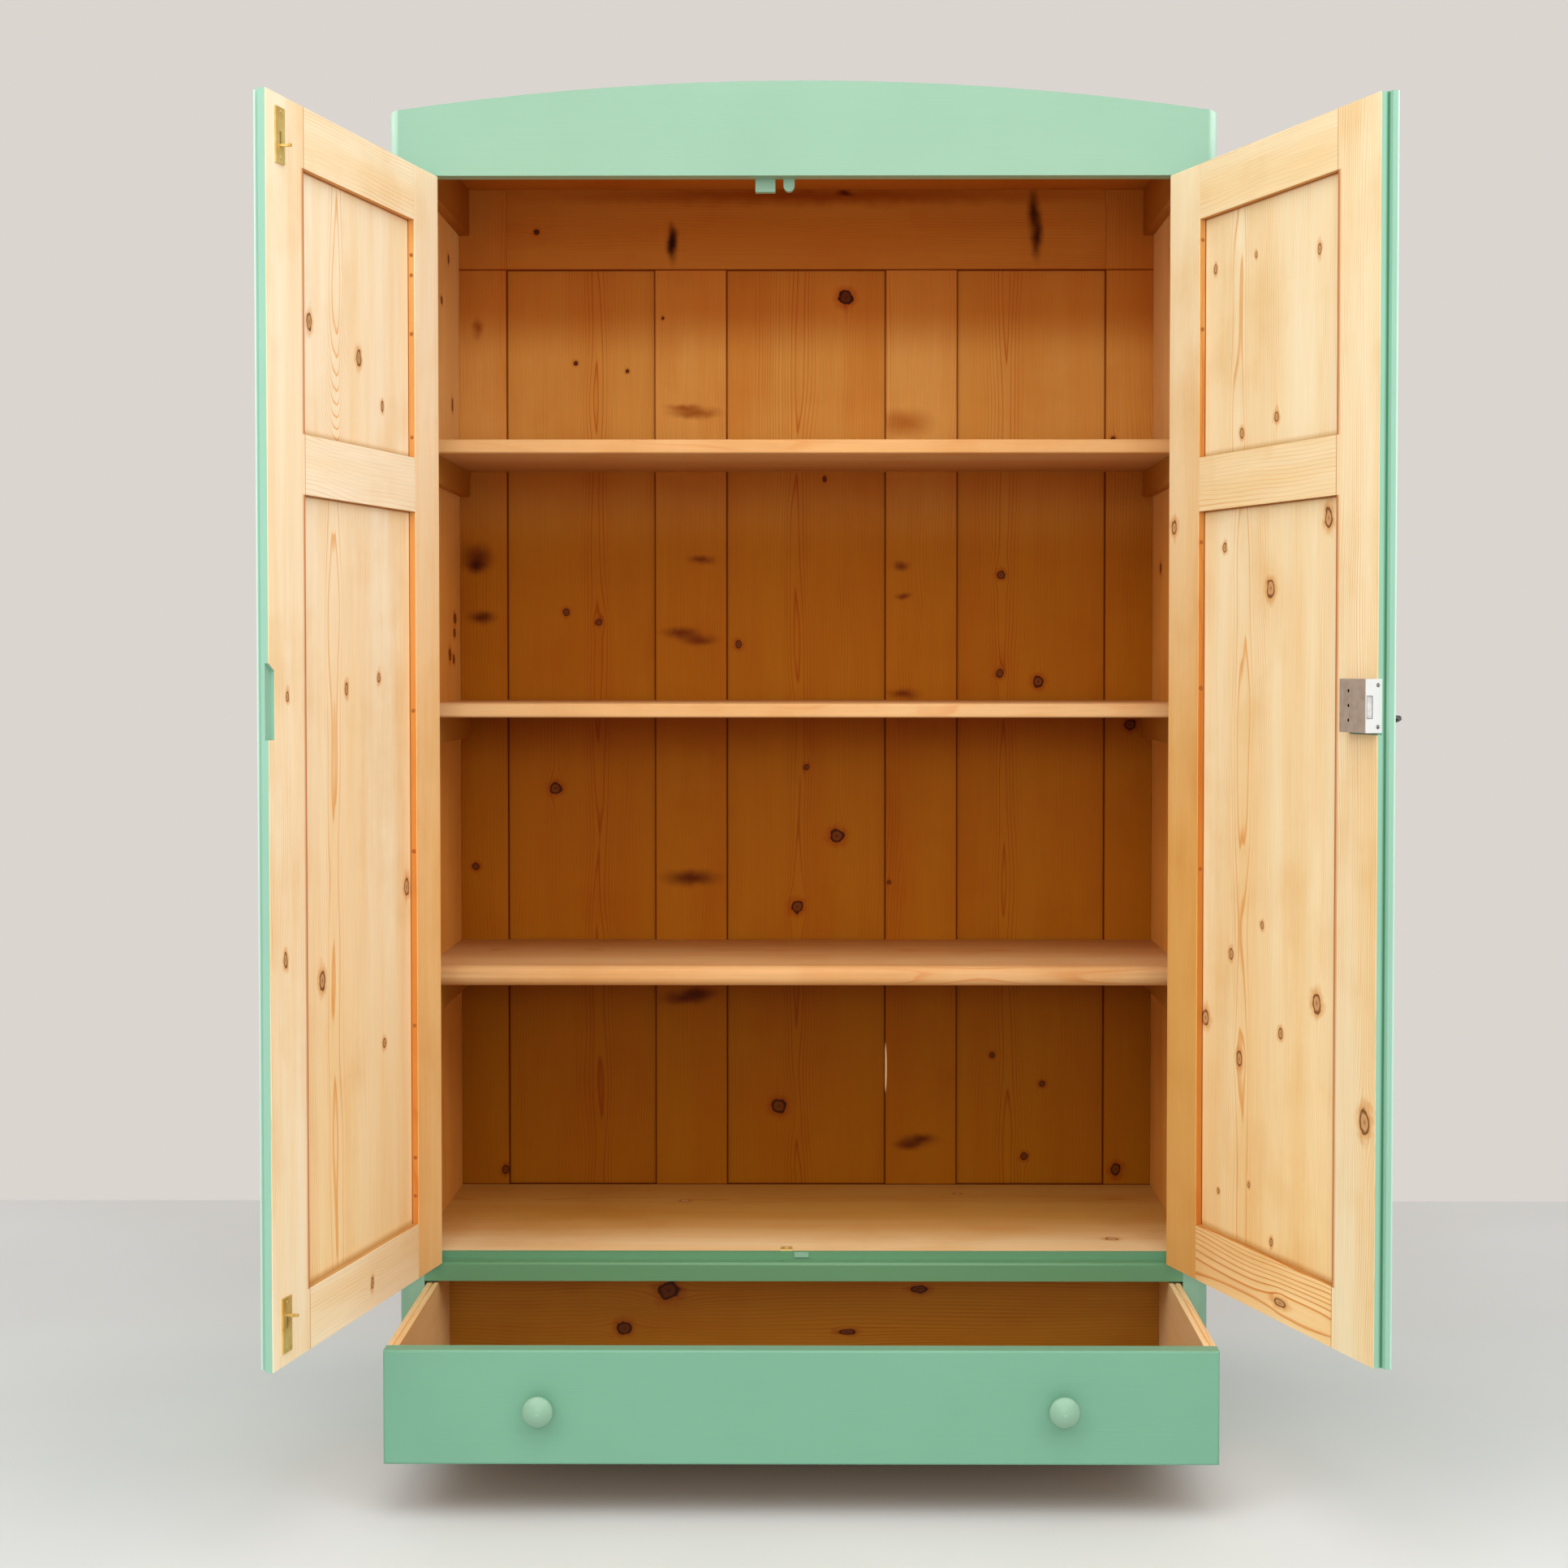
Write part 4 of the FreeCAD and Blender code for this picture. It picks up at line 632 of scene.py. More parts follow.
# Depths in a door, in millimetres: how far in its edges are painted, where the edges of its openings
# begin to round, and what lies in front of all paint, on the shown face.
PAINT_DEPTH, EDGE_DEPTH, FACE_DEPTH = 13.5, 24.9, 25.2
# Between these reaches from the pin a door is bare behind its shown face too.
BARE_REACH = (20.0, 450.0)
# How far paint laps over an arris, in millimetres.
PAINT_LAP = 0.5

# The corner of the rebate and the outer arris of the meeting stiles: reach from the pin, and depth.
GROOVE = Vector((509.75, 16.0, 0.0)) * MM
ARRIS = {"left": Vector((509.75, 6.0, 0.0)) * MM, "right": Vector((518.25, 6.0, 0.0)) * MM}

# A long oval in the grain with arches nested below it: its middle in millimetres above the floor, and
# how fast the arches close on both sides, for the cube of the distance in metres.
ARCHES = {"left_door_upper_panel": (1600, 1.7)}

# Boards on which the straight grain stands out more than on the rest.
CLEAR_GRAIN = {
    "right_door_bottom_rail": 0.9, "right_door_middle_rail": 0.25, "right_door_top_rail": 0.2,
    "left_door_top_rail": 0.15, "left_door_middle_rail": 0.15, "left_door_bottom_rail": 0.1,
    "right_door_meeting_stile": 0.35,
}


def door_frame(side):
    """Hinge pin of a door, and the directions along and out of its leaf as it stands open."""
    joint = next(j for j in frame["joints"] if j["name"] == side + "_door_hinge")
    shut = max(joint["range_deg"], key=abs)
    turn = Matrix.Rotation(math.radians(-shut), 3, "Z")
    along = turn @ (X if side == "left" else -X)
    inward = turn @ Y
    pin = Vector(joint["pos_m"])
    pin.z = 0.0
    return pin, along, inward


def leaf(side):
    """A door's leaf as one board: reach from the pin, height, and depth towards the shown face."""
    pin, along, inward = door_frame(side)
    return Board(pin, along, Z, out=inward)


def door_board(node, side, piece, seed):
    """A board of a door leaf: upright stiles and panels, level rails."""
    pin, along, inward = door_frame(side)
    low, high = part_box(node)
    rail = piece.endswith("rail")
    middle = (low.z + high.z) / 2 / MM
    board = Board(pin, *((along, Z) if rail else (Z, along)), out=inward, seed=seed,
                  heart=HEARTS.get(node, middle - 75), tone="fresh" if side == "left" else "wheat",
                  knots=list(DOOR_KNOTS.get(node, ())), clear=CLEAR_GRAIN.get(node, 0.05))
    board.arch, board.curve = ARCHES.get(node, (0.0, 0.0))
    if node == "right_door_bottom_rail":
        board.ring, board.tone = "#E3AC70", "tawny"
    if piece == "hinge_stile":
        reach = OPENING_REACH[0]
        board.knots += [(height, reach, PIN_RADIUS, 1.0, PIN_DEPTH) for height in PIN_HEIGHTS[side]]
        # Painted shade: the hinge stiles turn darker and more orange towards the floor.
        board.fade = ("amber" if side == "left" else "copper", -Z, -1.7, -0.7)
    if piece == "lower_panel":
        # Painted shade: the lower panels turn warmer towards the floor.
        board.fade = ("golden", -Z, -1.4, 0.5)
    return board


class CUPBOARD_OT_timber(bpy.types.Operator):
    """Prepare the pattern of pine that all bare boards share"""
    bl_idname = "cupboard.timber"
    bl_label = "Timber Pattern"

    def execute(self, context):
        knot_group()
        pine_group(context.scene.cupboard_pine)
        return {"FINISHED"}


class CUPBOARD_OT_carcass(bpy.types.Operator):
    """Paint the posts, sides, crown board and rails, and leave the sides bare inside"""
    bl_idname = "cupboard.carcass"
    bl_label = "Carcass"

    def execute(self, context):
        scene = context.scene
        posts = ("front_post_left", "front_post_right")
        blocks = ("door_stop_blocks", "crown_peg")
        rails = ("drawer_rail", "base_rail")
        upright, level = Board(ORIGIN, Z, X), Board(ORIGIN, X, Z)
        dress(eggshell_paint_on_pine(upright, scene, "crown", "eggshell_paint_upright"), *posts)
        dress(eggshell_paint_on_pine(level, scene, "crown", "eggshell_paint_level"), *blocks)
        # The crown board's rounded ends get a painted highlight.
        dress(eggshell_paint_on_pine(level, scene, "crown", "eggshell_paint_crown",
                                     rubbed=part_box("crown_board")[1].x), "crown_board")
        # Rails: a darker paint, painted shade where the doors and drawer shade them.
        dress(eggshell_paint_on_pine(level, scene, "rail", "eggshell_paint_rubbed"), *rails)
        # Painted shade: the right side's amber is darker than the left's golden, its inner face gets less
        # light, and both darken downwards to aged pine.
        for number, (side, inward, tone) in enumerate((("left", X, "golden"), ("right", -X, "amber"))):
            node = "side_board_" + side
            low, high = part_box(node)
            middle = (low + high).dot(inward) / 2
            board = Board(ORIGIN, Z, -Y, knots=SIDE_KNOTS[side], heart=-200, tone=tone, seed=31 + number,
                          knot_tint="#A87A4C", fade=("aged", -Z, -1.5, -1.15), out=X)
            dress(pine_painted_outside(board, scene, "crown", "painted_side_" + side,
                                       lambda tree: beyond(tree, inward, middle)), node)
        soften_edges(5.0, "crown_board")
        soften_edges(0.9, *posts, "side_board_left", "side_board_right", *rails)
        soften_edges(0.6, *blocks)
        return {"FINISHED"}


class CUPBOARD_OT_back(bpy.types.Operator):
    """Give the framed back its aged pine, board by board"""
    bl_idname = "cupboard.back"
    bl_label = "Back"

    def execute(self, context):
        boards = [(node, Z, X, knots) for node, knots in UPRIGHT_KNOTS.items()]
        boards += [(node, X, Z, LEVEL_KNOTS.get(node, ()))
                   for node in ("back_top_rail", "back_bottom_rail", "top_board")]
        for number, (node, along, across, knots) in enumerate(boards):
            low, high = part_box(node)
            middle = (low + high) / 2
            outside = (Z, TOP_BOARD_OUTSIDE) if node == "top_board" else (Y, middle.y)
            light = "muntin" in node or node == "back_stile_left"
            # Painted shade: the back darkens to dusky pine below the upper compartment, where less light
            # reaches.
            board = lay(node, along, across, knots=knots, tone="tan" if light else "aged", seed=3 + number,
                        heart=HEARTS.get(node, middle.dot(across) / MM - 150), clear=0.08, gloss=0.05,
                        fade=("dusky", -Z, -1.45, -1.22), knot_tint="#8A5E34", ring="#E0AE6C",
                        raw=("honey", *outside))

            # Real joints, stains and a chip, with painted shade below the shelves, on the inner side only.
            def wear_and_shade(tree, wood):
                worn = self.add_joints(tree, self.paint_shade_below_shelves(tree, wood))
                worn = self.add_stains(tree, worn, STAINS_AND_SHADE.get(node, ()))
                if node == "back_muntin_right":
                    worn = self.add_chip(tree, worn)
                return add(tree, "Mix", {0: beyond(tree, *outside), 6: worn, 7: wood}, **BLENDED)

            dress(waxed_pine(board, context.scene, "waxed_pine_" + node, wear_and_shade), node)
            soften_edges(0.8, node)
        return {"FINISHED"}

    def add_stains(self, tree, wood, stains):
        """Soft brown stains with wandering edges, where resin and damp have coloured the pine; a band of
        painted shade is drawn the same way.
        """
        place = add(tree, "TexCoord", out="Object")
        cloud = add(tree, "TexNoise", {"Vector": place, "Scale": 38.0, "Detail": 3.0}, out="Color")
        centred = add(tree, "VectorMath SUBTRACT", cloud, (0.5, 0.5, 0.5))
        drift = add(tree, "VectorMath SCALE", {0: centred, "Scale": 14 * MM})
        wandering = add(tree, "VectorMath ADD", place, drift)
        for *oval, tone in stains:
            wood = stain_and_shade_band(tree, wood, oval_share(tree, wandering, *oval), 1.4, tone)
        return wood

    def add_joints(self, tree, wood):
        """Thin dark joints where the boards of the back meet. The upright ones end at the top rail."""
        across, height = reach_along(tree, X), reach_along(tree, Z)
        head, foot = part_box("back_top_rail")[0].z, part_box("back_bottom_rail")[1].z
        sides = [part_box("back_stile_left")[1].x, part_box("back_stile_right")[0].x]
        for muntin in ("back_muntin_left", "back_muntin_right"):
            sides += [corner.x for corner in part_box(muntin)]
        above = beyond(tree, Z, head)
        joints = [(across, side, above) for side in sides] + [(height, head, 0.0), (height, foot, 0.0)]
        nearest = 1.0
        for value, level, ended in joints:
            apart = add(tree, "Math SUBTRACT", value, level)
            size = add(tree, "Math ABSOLUTE", apart)
            distance = add(tree, "Math ADD", size, ended)
            nearest = add(tree, "Math MINIMUM", nearest, distance)
        return stain_and_shade_band(tree, wood, nearest, 2.4 * MM, "#A87A4C")

    def add_chip(self, tree, wood):
        """Pale bare wood where a long splinter has come off the edge of the right muntin."""
        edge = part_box("back_muntin_right")[0].x / MM
        share = oval_share(tree, add(tree, "TexCoord", out="Object"), edge + 1.0, *CHIP)
        bare = add(tree, "MapRange", share, 0.8, 1.1, 1.0, 0.0)
        return add(tree, "Mix", {0: bare, 6: wood, 7: linear("#F2CF98")}, **BLENDED)

    def paint_shade_below_shelves(self, tree, wood):
        """Painted shade: the back is darker right below each shelf, and over all of its lowest part."""
        height = reach_along(tree, Z)
        nearest = 1.0
        for node in SHELVES:
            below = add(tree, "Math SUBTRACT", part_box(node)[0].z, height)
            above = add(tree, "Math LESS_THAN", below, 0.0)
            gap = add(tree, "Math ADD", below, above)
            nearest = add(tree, "Math MINIMUM", nearest, gap)
        wood = stain_and_shade_band(tree, wood, nearest, 90 * MM, "#DAB98E")
        # Painted shade over the whole lowest compartment.
        low = add(tree, "Math SUBTRACT", height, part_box("shelf_lower")[0].z)
        return stain_and_shade_band(tree, wood, low, 20 * MM, "#E6E6A8")


class CUPBOARD_OT_shelves(bpy.types.Operator):
    """Give the shelves, their bearers, the cleats and the floor board honey-coloured pine"""
    bl_idname = "cupboard.shelves"
    bl_label = "Shelves"

    def execute(self, context):
        for number, node in enumerate(SHELVES + ("floor_board",)):
            # Painted shade: shelves darken to dusky pine towards the back, the floor board to umber.
            tone, dark, deep = ("straw", "umber", 0.25) if node == "floor_board" else ("honey", "dusky", 0.6)
            board = lay(node, X, Y, knots=LEVEL_KNOTS.get(node, ()), heart=250 + 30 * number, tone=tone,
                        seed=41 + number, fade=(dark, Y, 0.0, deep))
            dress(waxed_pine(board, context.scene, "waxed_pine_" + node), node)
        # Painted shade: bearers, cleats and runners are umber pine and darken further towards the back.
        short = ("shelf_bearers", "top_cleat_left", "top_cleat_right", "drawer_runners")
        for number, node in enumerate(short):
            board = lay(node, Y, Z, heart=700, tone="umber", seed=51 + number, fade=("dusky", Y, 0.0, 0.5))
            dress(waxed_pine(board, context.scene, "waxed_pine_" + node), node)
        soften_edges(0.8, *SHELVES, "floor_board", *short[:3])
        return {"FINISHED"}


class CUPBOARD_OT_doors(bpy.types.Operator):
    """Paint the doors outside and on their edges, and wax them inside"""
    bl_idname = "cupboard.doors"
    bl_label = "Doors"

    def execute(self, context):
        scene = context.scene
        for side, first_seed in (("left", 61), ("right", 81)):
            for number, piece in enumerate(DOOR_PIECES):
                node = "%s_door_%s" % (side, piece)
                board = door_board(node, side, piece, first_seed + number)

                # The meeting stiles get painted shade in their rebate and a painted highlight on their outer
                # arris.
                def lip(tree, painted):
                    return self.paint_edge_light(tree, painted, side, scene.cupboard_paint.lip)

                dress(pine_painted_outside(board, scene, "doors", "painted_door_" + node,
                                           lambda tree: self.bare_side(tree, side),
                                           lambda tree, wood: self.seam_dirt_and_shade(tree, wood, side, piece),
                                           lip if piece == "meeting_stile" else None), node)
                soften_edges(0.9 if "stile" in piece else 0.5, node)
        return {"FINISHED"}

    def bare_side(self, tree, side):
        """One on the shown side of a leaf and the edges of its openings, and nought where it is painted."""
        reach, level, depth = board_place(tree, leaf(side))[1]
        low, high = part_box(side + "_door_hinge_stile")
        near, far = BARE_REACH
        within = inside(tree, (depth, PAINT_DEPTH * MM, None), (reach, near * MM, far * MM),
                        (level, low.z + PAINT_LAP * MM, high.z - PAINT_LAP * MM))
        face = add(tree, "Math GREATER_THAN", depth, FACE_DEPTH * MM)
        return add(tree, "Math MAXIMUM", within, face)

    def seam_dirt_and_shade(self, tree, wood, side, piece):
        """Around a panel: dirt in the seams, a grey dirt line at its foot, and painted shade in its corners,
        on the opening edges of the frame and on the meeting stile beside it.
        """
        reach, level, depth = board_place(tree, leaf(side))[1]
        near, far = OPENING_REACH
        to_near = add(tree, "Math SUBTRACT", reach, near * MM)
        to_far = add(tree, "Math SUBTRACT", far * MM, reach)
        if piece.endswith("panel"):
            foot, head = OPENING_LEVELS[piece]
            rise = add(tree, "Math SUBTRACT", level, foot * MM)
            drop = add(tree, "Math SUBTRACT", head * MM, level)
            # The panel's foot gets a grey dirt line; its top and sides a dark line that is dirt in the seam
            # and painted shade of the frame, widest on the far side.
            seams = [(rise, 10, "#DACBAE"), (drop, 3, "#B0723A"), (to_near, 3, "#B0723A"),
                     (to_far, 7, "#94602E")]
        else:
            # Painted shade: the inner edges of the panel openings are darker and more orange.
            edge = add(tree, "Math SUBTRACT", depth, EDGE_DEPTH * MM)
            seams = [(edge, 1, "#C8A87C" if piece in ("bottom_rail", "middle_rail") else "#DDAE76")]
        # Painted shade: a band on the meeting stile beside each panel, where the panel's shadow falls.
        if piece == "meeting_stile":
            past = add(tree, "Math MULTIPLY", to_far, -1.0)
            for foot, head in OPENING_LEVELS.values():
                beside = add(tree, "Math COMPARE", level, (foot + head) / 2 * MM, (head - foot) / 2 * MM)
                apart = add(tree, "Math SUBTRACT", 1.0, beside)
                seams.append((add(tree, "Math ADD", past, apart), 9, "#C87A34"))
        if piece.endswith("rail"):
            seams += [(to_near, 1.6, "#C08A50"), (to_far, 2.4, "#C08A50")]
        for distance, width, tone in seams:
            wood = stain_and_shade_band(tree, wood, distance, width * MM, tone)
        return wood

    def paint_edge_light(self, tree, painted, side, highlight_colour):
        """Painted shade in the rebate of a meeting stile, and a painted highlight on its outer arris, where
        it catches the light.
        """
        parts = board_place(tree, leaf(side))[1]
        flat = add(tree, "CombineXYZ", parts[0], parts[2])
        groove = add(tree, "VectorMath DISTANCE", flat, GROOVE, out="Value")
        painted = stain_and_shade_band(tree, painted, groove, 4.2 * MM, "#86B394")
        rim = add(tree, "VectorMath DISTANCE", flat, ARRIS[side], out="Value")
        thin = add(tree, "MapRange", rim, 1.4 * MM, 4.2 * MM, 1.0, 0.0, **SMOOTH)
        return add(tree, "Mix", {0: thin, 6: painted, 7: highlight_colour}, **BLENDED)


class CUPBOARD_OT_drawer(bpy.types.Operator):
    """Paint the drawer's front and knobs, and wax its sides, back and bottom"""
    bl_idname = "cupboard.drawer"
    bl_label = "Drawer"

    def execute(self, context):
        scene = context.scene
        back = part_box("drawer_front")[1].y - PAINT_LAP * MM
        board = Board(ORIGIN, X, Z, heart=300, tone="honey", seed=71, out=Y)
        dress(pine_painted_outside(board, scene, "drawer", "painted_drawer_front",
                                   lambda tree: beyond(tree, Y, back)), "drawer_front")
        knobs = eggshell_paint_on_pine(Board(ORIGIN, Z, X), scene, "crown", "eggshell_paint_knobs")
        dress(knobs, "drawer_knobs")
        boards = [("drawer_side_" + side, Y, Z, {"heart": 250, "tone": "straw", "seed": seed, "clear": 0.25})
                  for side, seed in (("left", 73), ("right", 74))]
        boards += [("drawer_back", X, Z, {"heart": 40, "tone": "russet", "seed": 76, "clear": 0.4,
                                          "knots": LEVEL_KNOTS["drawer_back"], "knot_tint": "#7A5230",
                                          "ring": "#D9A05A"}),
                   ("drawer_bottom", X, Y, {"heart": -400, "tone": "umber", "seed": 77})]
        for node, along, across, choices in boards:
            dress(waxed_pine(lay(node, along, across, **choices), scene, "waxed_pine_" + node), node)
        soften_edges(0.8, "drawer_front", "drawer_side_left", "drawer_side_right", "drawer_back")
        return {"FINISHED"}


class CUPBOARD_OT_fittings(bpy.types.Operator):
    """Give hinges, bolts, lock, key and catch plate their old metal"""
    bl_idname = "cupboard.fittings"
    bl_label = "Metal Fittings"

    def execute(self, context):
        metal = context.scene.cupboard_metal
        # Rolled brass plate that air has dulled: a soft yellow sheen under brown clouds.
        brass = old_metal("old_rolled_brass", metal.brass, roughness=0.4, spot_size=30 * MM,
                          spot_tone="#E0CD9C", metallic=0.5)
        # Drawn steel gone grey, with small dark spots: hardly a shine.
        steel = old_metal("dull_drawn_steel", metal.steel, roughness=0.42, spot_size=7 * MM,
                          spot_tone="#8A817A", metallic=1.0)
        dress(brass, "upper_bolt_plate", "lower_bolt_plate", "floor_catch_plate")
        dress(steel, "left_post_hinge_leaves", "right_post_hinge_leaves", "left_door_hinge_leaves",
              "right_door_hinge_leaves", "key")
        # Brass that thumbs keep bright, painted near black where it lies deep in its slot: painted shade.
        inward = leaf("left").out
        face = span("upper_bolt_plate", ORIGIN, inward)[1]
        slot = (inward, face - 0.2 * MM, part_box("lower_bolt_plate")[0].z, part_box("upper_bolt_plate")[1].z)
        slot_shaded_brass = old_metal("oiled_brass_bolt", metal.brass, roughness=0.36, spot_size=5 * MM,
                          spot_tone="#D8C391", metallic=0.55, sunk=slot)
        dress(slot_shaded_brass, "upper_bolt", "lower_bolt")
        # Plated steel rubbed bright by its own travel: pale and smooth.
        bright = old_metal("bright_plated_steel", metal.selvedge, roughness=0.4, spot_size=14 * MM,
                           spot_tone="#D6D2CC", metallic=0.3)
        dress(bright, "lock_bolt")
        dress(self.lock_metal(metal), "lock_case")
        self.add_screws(metal.screw_radius, steel, brass)
        return {"FINISHED"}

    def add_screws(self, radius, steel, brass):
        """Countersunk slotted screws in the lock's edge plate and in the two bolt plates."""
        pin, along, inward = door_frame("right")
        reach = span("lock_case", pin, along)[1]
        low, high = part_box("lock_case")
        depth, from_end = 25.5 * MM, 7 * MM
        for number, height in enumerate((low.z + from_end, high.z - from_end)):
            place = pin + along * reach + inward * depth + Z * height
            self.screw("lock_screw_%d" % (number + 1), place, along, steel, radius, "right_door")
        pin, along, inward = door_frame("left")
        for name in ("upper", "lower"):
            plate = name + "_bolt_plate"
            middle = sum(span(plate, pin, along)) / 2
            depth = span(plate, pin, inward)[1]
            low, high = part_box(plate)
            from_end = 6 * MM
            for number, height in enumerate((low.z + from_end, high.z - from_end)):
                place = pin + along * middle + inward * depth + Z * height
                label = "%s_plate_screw_%d" % (name, number + 1)
                self.screw(label, place, inward, brass, radius, "left_door")

    def screw(self, name, place, outward, material, radius, body):
        """A screw's low domed head with its slot, set on a face.

        Its rings are shares of the radius and heights in millimetres.
        """
        shape = bmesh.new()
        rings = ((1.0, 0.0), (0.9, 0.25), (0.6, 0.42), (0.0, 0.5))
        steps, half_slot = 12, radius * 0.14
        for side in (-1, 1):
            rows = []
            for share, rise in rings:
                turns = [math.pi * step / steps for step in range(steps + 1)]
                rows.append([shape.verts.new((radius * share * math.cos(turn),
                                              side * max(radius * share * math.sin(turn), half_slot),
                                              rise * MM)) for turn in turns])
            for lower, upper in zip(rows, rows[1:]):
                for step in range(steps):
                    shape.faces.new((lower[step], lower[step + 1], upper[step + 1], upper[step]))
        bmesh.ops.recalc_face_normals(shape, faces=shape.faces)
        mesh = bpy.data.meshes.new(name)
        shape.to_mesh(mesh)
        shape.free()
        mesh.materials.append(material)
        head = new_object(name, mesh)
        head.rotation_mode = "QUATERNION"
        head.rotation_quaternion = outward.to_track_quat("Z", "Y")
        head.location = place
        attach(head, body)

    def lock_metal(self, metal):
        """Plated steel worn to a grey brown, bright on the edge plate that the door's paint surrounds, and
        painted near black inside the hollow case as shade.
        """
        pin, along, inward = door_frame("right")
        start, end = span("lock_case", pin, along)
        face = span("lock_case", pin, inward)[1]
        material, tree = start_material("worn_plated_steel")
        place, (reach, level, depth) = board_place(tree, leaf("right"))
        cloud = add(tree, "TexNoise", {"Vector": place, "Scale": 90.0, "Detail": 5.0})
        worn = add(tree, "MapRange", cloud, 0.4, 0.7)
        case = add(tree, "Mix", {0: worn, 6: metal.lock, 7: linear("#EBE3DC")}, **GLAZED)
        bright, wall, end_wall = 1.4 * MM, 0.4 * MM, 2.1 * MM
        edge = add(tree, "Math GREATER_THAN", reach, end - bright)
        colour = add(tree, "Mix", {0: edge, 6: case, 7: metal.selvedge}, **BLENDED)
        # Painted shade: behind its thin walls the hollow case is painted near black, which shows through the
        # round holes.
        low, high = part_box("lock_case")
        shaded_hollow = inside(tree, (depth, None, face - wall), (reach, start + wall, end - end_wall),
                        (level, low.z + wall, high.z - wall))
        colour = add(tree, "Mix", {0: shaded_hollow, 6: colour, 7: linear("#0E0C0A")}, **BLENDED)
        # A dark joint runs round the bolt where it leaves the edge plate.
        gaps = []
        for value, direction in ((depth, inward), (level, Z)):
            least, most = span("lock_bolt", pin, direction)
            off = add(tree, "Math SUBTRACT", value, (least + most) / 2)
            size = add(tree, "Math ABSOLUTE", off)
            gaps.append(add(tree, "Math SUBTRACT", size, (most - least) / 2))
        joint = add(tree, "Math MAXIMUM", *gaps)
        colour = stain_and_shade_band(tree, colour, joint, 1.3 * MM, "#1C1814")
        rough = add(tree, "MapRange", cloud, 0.0, 1.0, 0.35, 0.6)
        close_material(tree, colour, rough, cloud, depth=0.03 * MM, metallic=0.3)
        return material


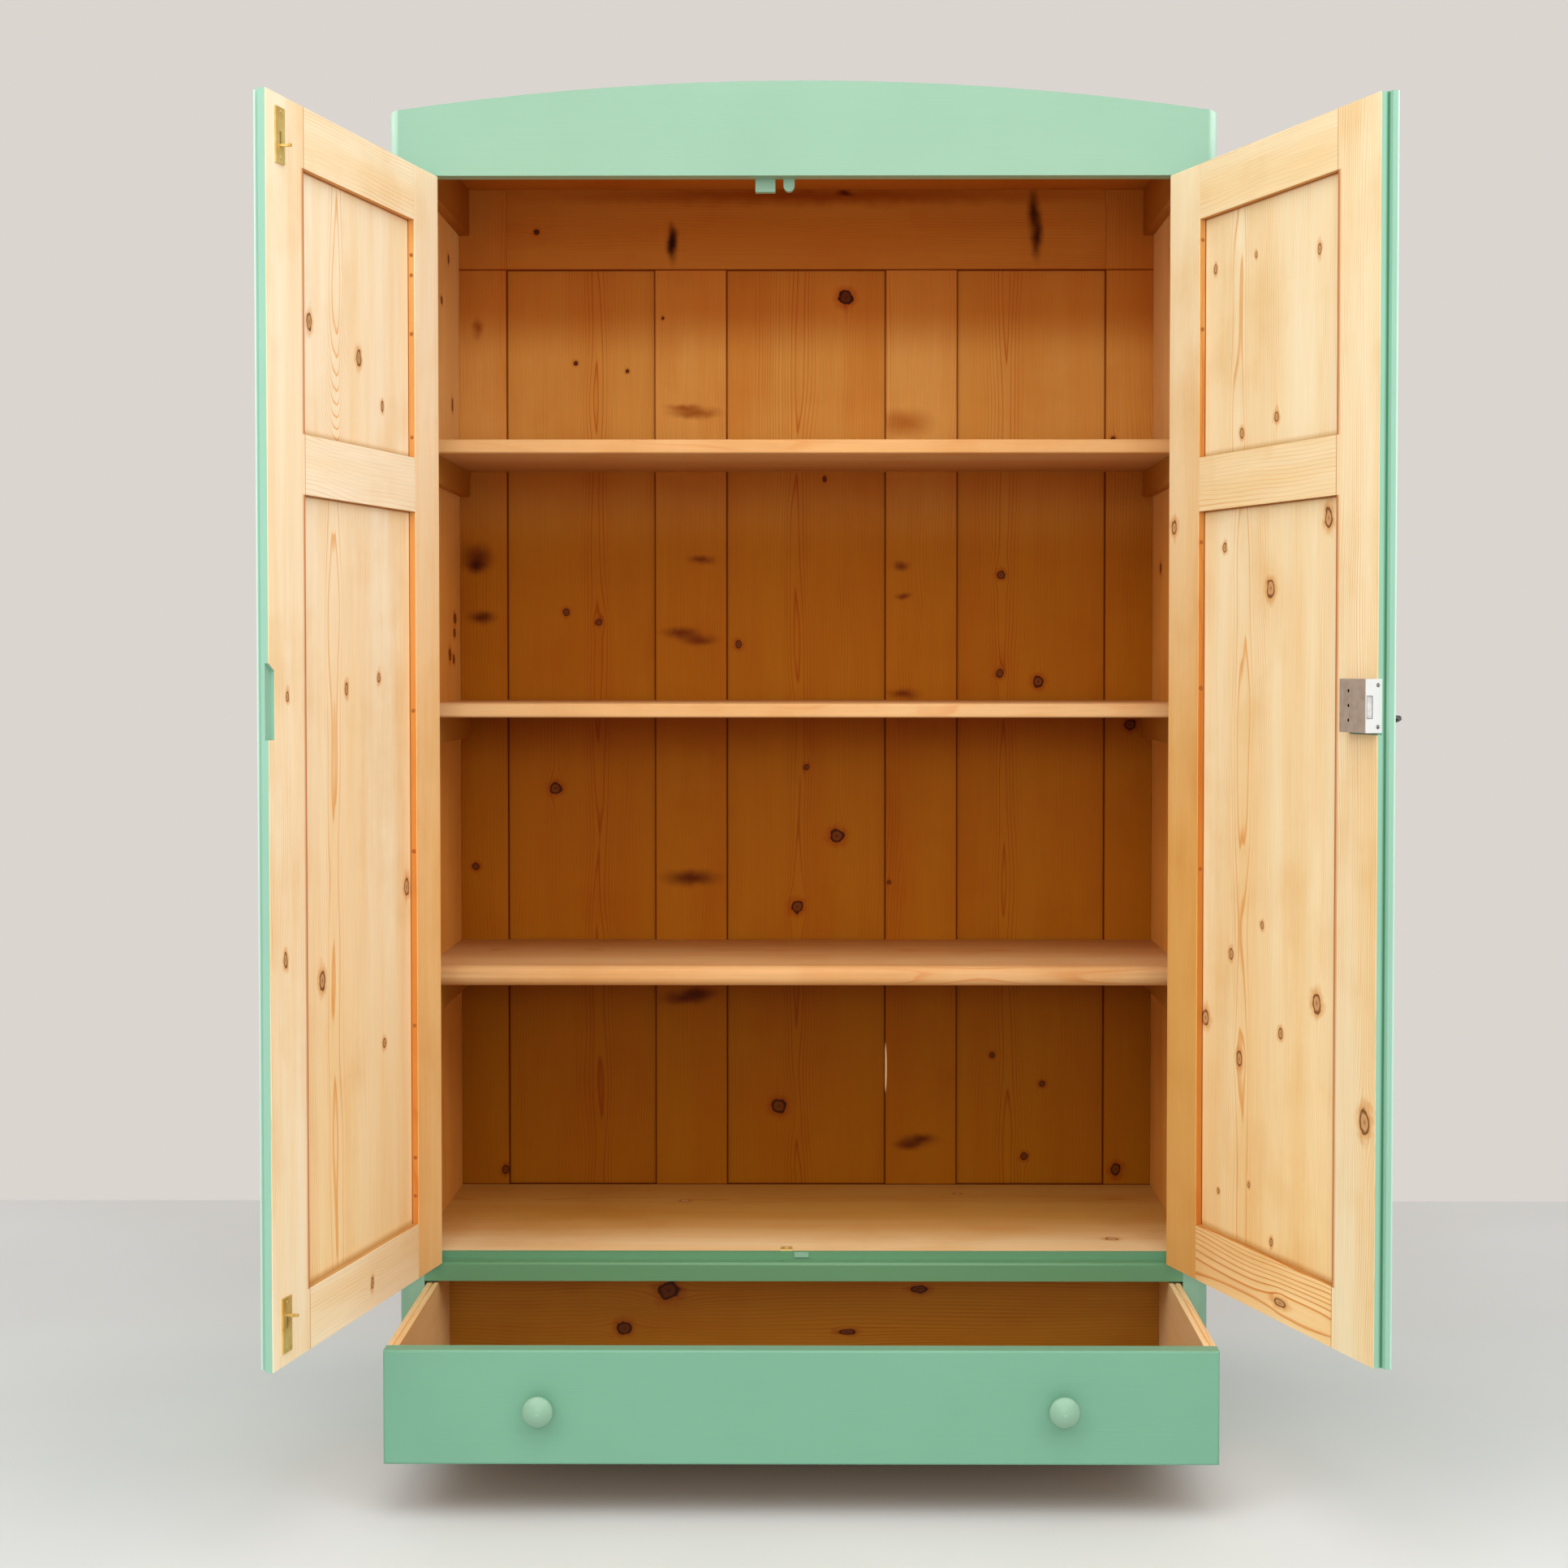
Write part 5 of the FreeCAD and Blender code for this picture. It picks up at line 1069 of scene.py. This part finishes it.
class CUPBOARD_OT_studio(bpy.types.Operator):
    """Set up the pale floor, the soft lights and the camera"""
    bl_idname = "cupboard.studio"
    bl_label = "Studio"

    def execute(self, context):
        studio = context.scene.cupboard_studio
        self.make_floor(studio)
        self.make_surround(context.scene, studio)
        self.make_lights(studio)
        self.make_camera(context.scene, studio)
        return {"FINISHED"}

    def make_floor(self, studio):
        """Concrete floor smoothed with a trowel: plain and pale, with faint clouds."""
        mesh = bpy.data.meshes.new("studio_floor")
        reach, back = 14.0, 1.45
        corners = [(-reach, -reach, 0), (reach, -reach, 0), (reach, back, 0), (-reach, back, 0)]
        mesh.from_pydata(corners, [], [(0, 1, 2, 3)])
        floor = new_object("studio_floor", mesh)
        material, tree = start_material("trowelled_floor")
        place = add(tree, "TexCoord", out="Object")
        cloud = add(tree, "TexNoise", {"Vector": place, "Scale": 1.4, "Detail": 6.0})
        colour = varied(tree, studio.floor[:3], cloud, 0.3, 0.7, 0.95, 1.03)
        close_material(tree, colour, roughness=0.6, height=cloud, depth=1 * MM)
        mesh.materials.append(material)

    def make_surround(self, scene, studio):
        """Pale light all round, dimmer low down behind the camera, so the drawer keeps its shadow."""
        scene.world = bpy.data.worlds.new("studio_surround")
        scene.world.use_nodes = True
        tree = scene.world.node_tree
        side = add(tree, "SeparateXYZ", add(tree, "TexCoord", out="Generated"), out=None).outputs
        behind = add(tree, "MapRange", side[1], -0.1, 0.25)
        above = add(tree, "MapRange", side[2], 0.25, 0.7, 0.55, 1.5)
        level = add(tree, "Mix", {0: behind, 2: above, 3: 1.0}, data_type="FLOAT")
        strength = add(tree, "Math MULTIPLY", level, studio.surround_strength)
        background = tree.nodes["Background"].inputs
        background["Color"].default_value = studio.surround
        tree.links.new(strength, background["Strength"])

    def make_lights(self, studio):
        """Four soft round lights, each with its place, what it is aimed at, its size and its power."""
        places = (("key_light", (0.0, -1.9, 4.0), (0.0, 0.0, 1.0), 2.8, studio.key_power),
                  ("left_light", (-2.3, -3.0, 3.1), (0.3, 0.0, 1.2), 2.4, studio.fill_power),
                  ("right_light", (2.3, -3.0, 3.1), (-0.3, 0.0, 1.2), 2.4, studio.fill_power),
                  ("front_light", (0.0, -5.6, 1.7), (0.0, 0.0, 1.1), 2.6, studio.front_power))
        for name, place, target, size, power in places:
            lamp = bpy.data.lights.new(name, "AREA")
            lamp.shape = "DISK"
            lamp.size = size
            lamp.energy = power
            thing = new_object(name, lamp)
            thing.location = place
            thing.rotation_mode = "QUATERNION"
            thing.rotation_quaternion = (Vector(target) - Vector(place)).to_track_quat("-Z", "Y")

    def make_camera(self, scene, studio):
        lens = bpy.data.cameras.new("studio_camera")
        lens.lens = studio.lens
        lens.sensor_width = 36.0
        lens.shift_x = studio.shift_across
        lens.shift_y = studio.shift_up
        camera = new_object("studio_camera", lens)
        camera.location = studio.camera
        camera.rotation_euler = (math.pi / 2 - studio.pitch, 0.0, studio.yaw)
        scene.camera = camera
        scene.view_settings.view_transform = "Standard"


OPERATORS = (CUPBOARD_OT_timber, CUPBOARD_OT_carcass, CUPBOARD_OT_back, CUPBOARD_OT_shelves,
             CUPBOARD_OT_doors, CUPBOARD_OT_drawer, CUPBOARD_OT_fittings, CUPBOARD_OT_studio)
SETTINGS = {"cupboard_paint": CupboardPaint, "cupboard_pine": CupboardPine,
            "cupboard_metal": CupboardMetal, "cupboard_studio": CupboardStudio}


class CUPBOARD_PT_panel(bpy.types.Panel):
    """Lists the cupboard's operators and settings"""
    bl_idname = "CUPBOARD_PT_panel"
    bl_label = "Linen Cupboard"
    bl_space_type = "VIEW_3D"
    bl_region_type = "UI"
    bl_category = "Cupboard"

    def draw(self, context):
        for operator in OPERATORS:
            self.layout.operator(operator.bl_idname)
        for name, group in SETTINGS.items():
            box = self.layout.box()
            for setting in group.__annotations__:
                box.prop(getattr(context.scene, name), setting)


def register():
    for group in SETTINGS.values():
        bpy.utils.register_class(group)
    for name, group in SETTINGS.items():
        setattr(bpy.types.Scene, name, PointerProperty(type=group))
    for operator in OPERATORS:
        bpy.utils.register_class(operator)
    bpy.utils.register_class(CUPBOARD_PT_panel)


def unregister():
    bpy.utils.unregister_class(CUPBOARD_PT_panel)
    for operator in reversed(OPERATORS):
        bpy.utils.unregister_class(operator)
    for name, group in SETTINGS.items():
        delattr(bpy.types.Scene, name)
        bpy.utils.unregister_class(group)


def main():
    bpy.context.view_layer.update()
    register()
    for operator in OPERATORS:
        space, action = operator.bl_idname.split(".")
        getattr(getattr(bpy.ops, space), action)()


if __name__ == "__main__":
    main()
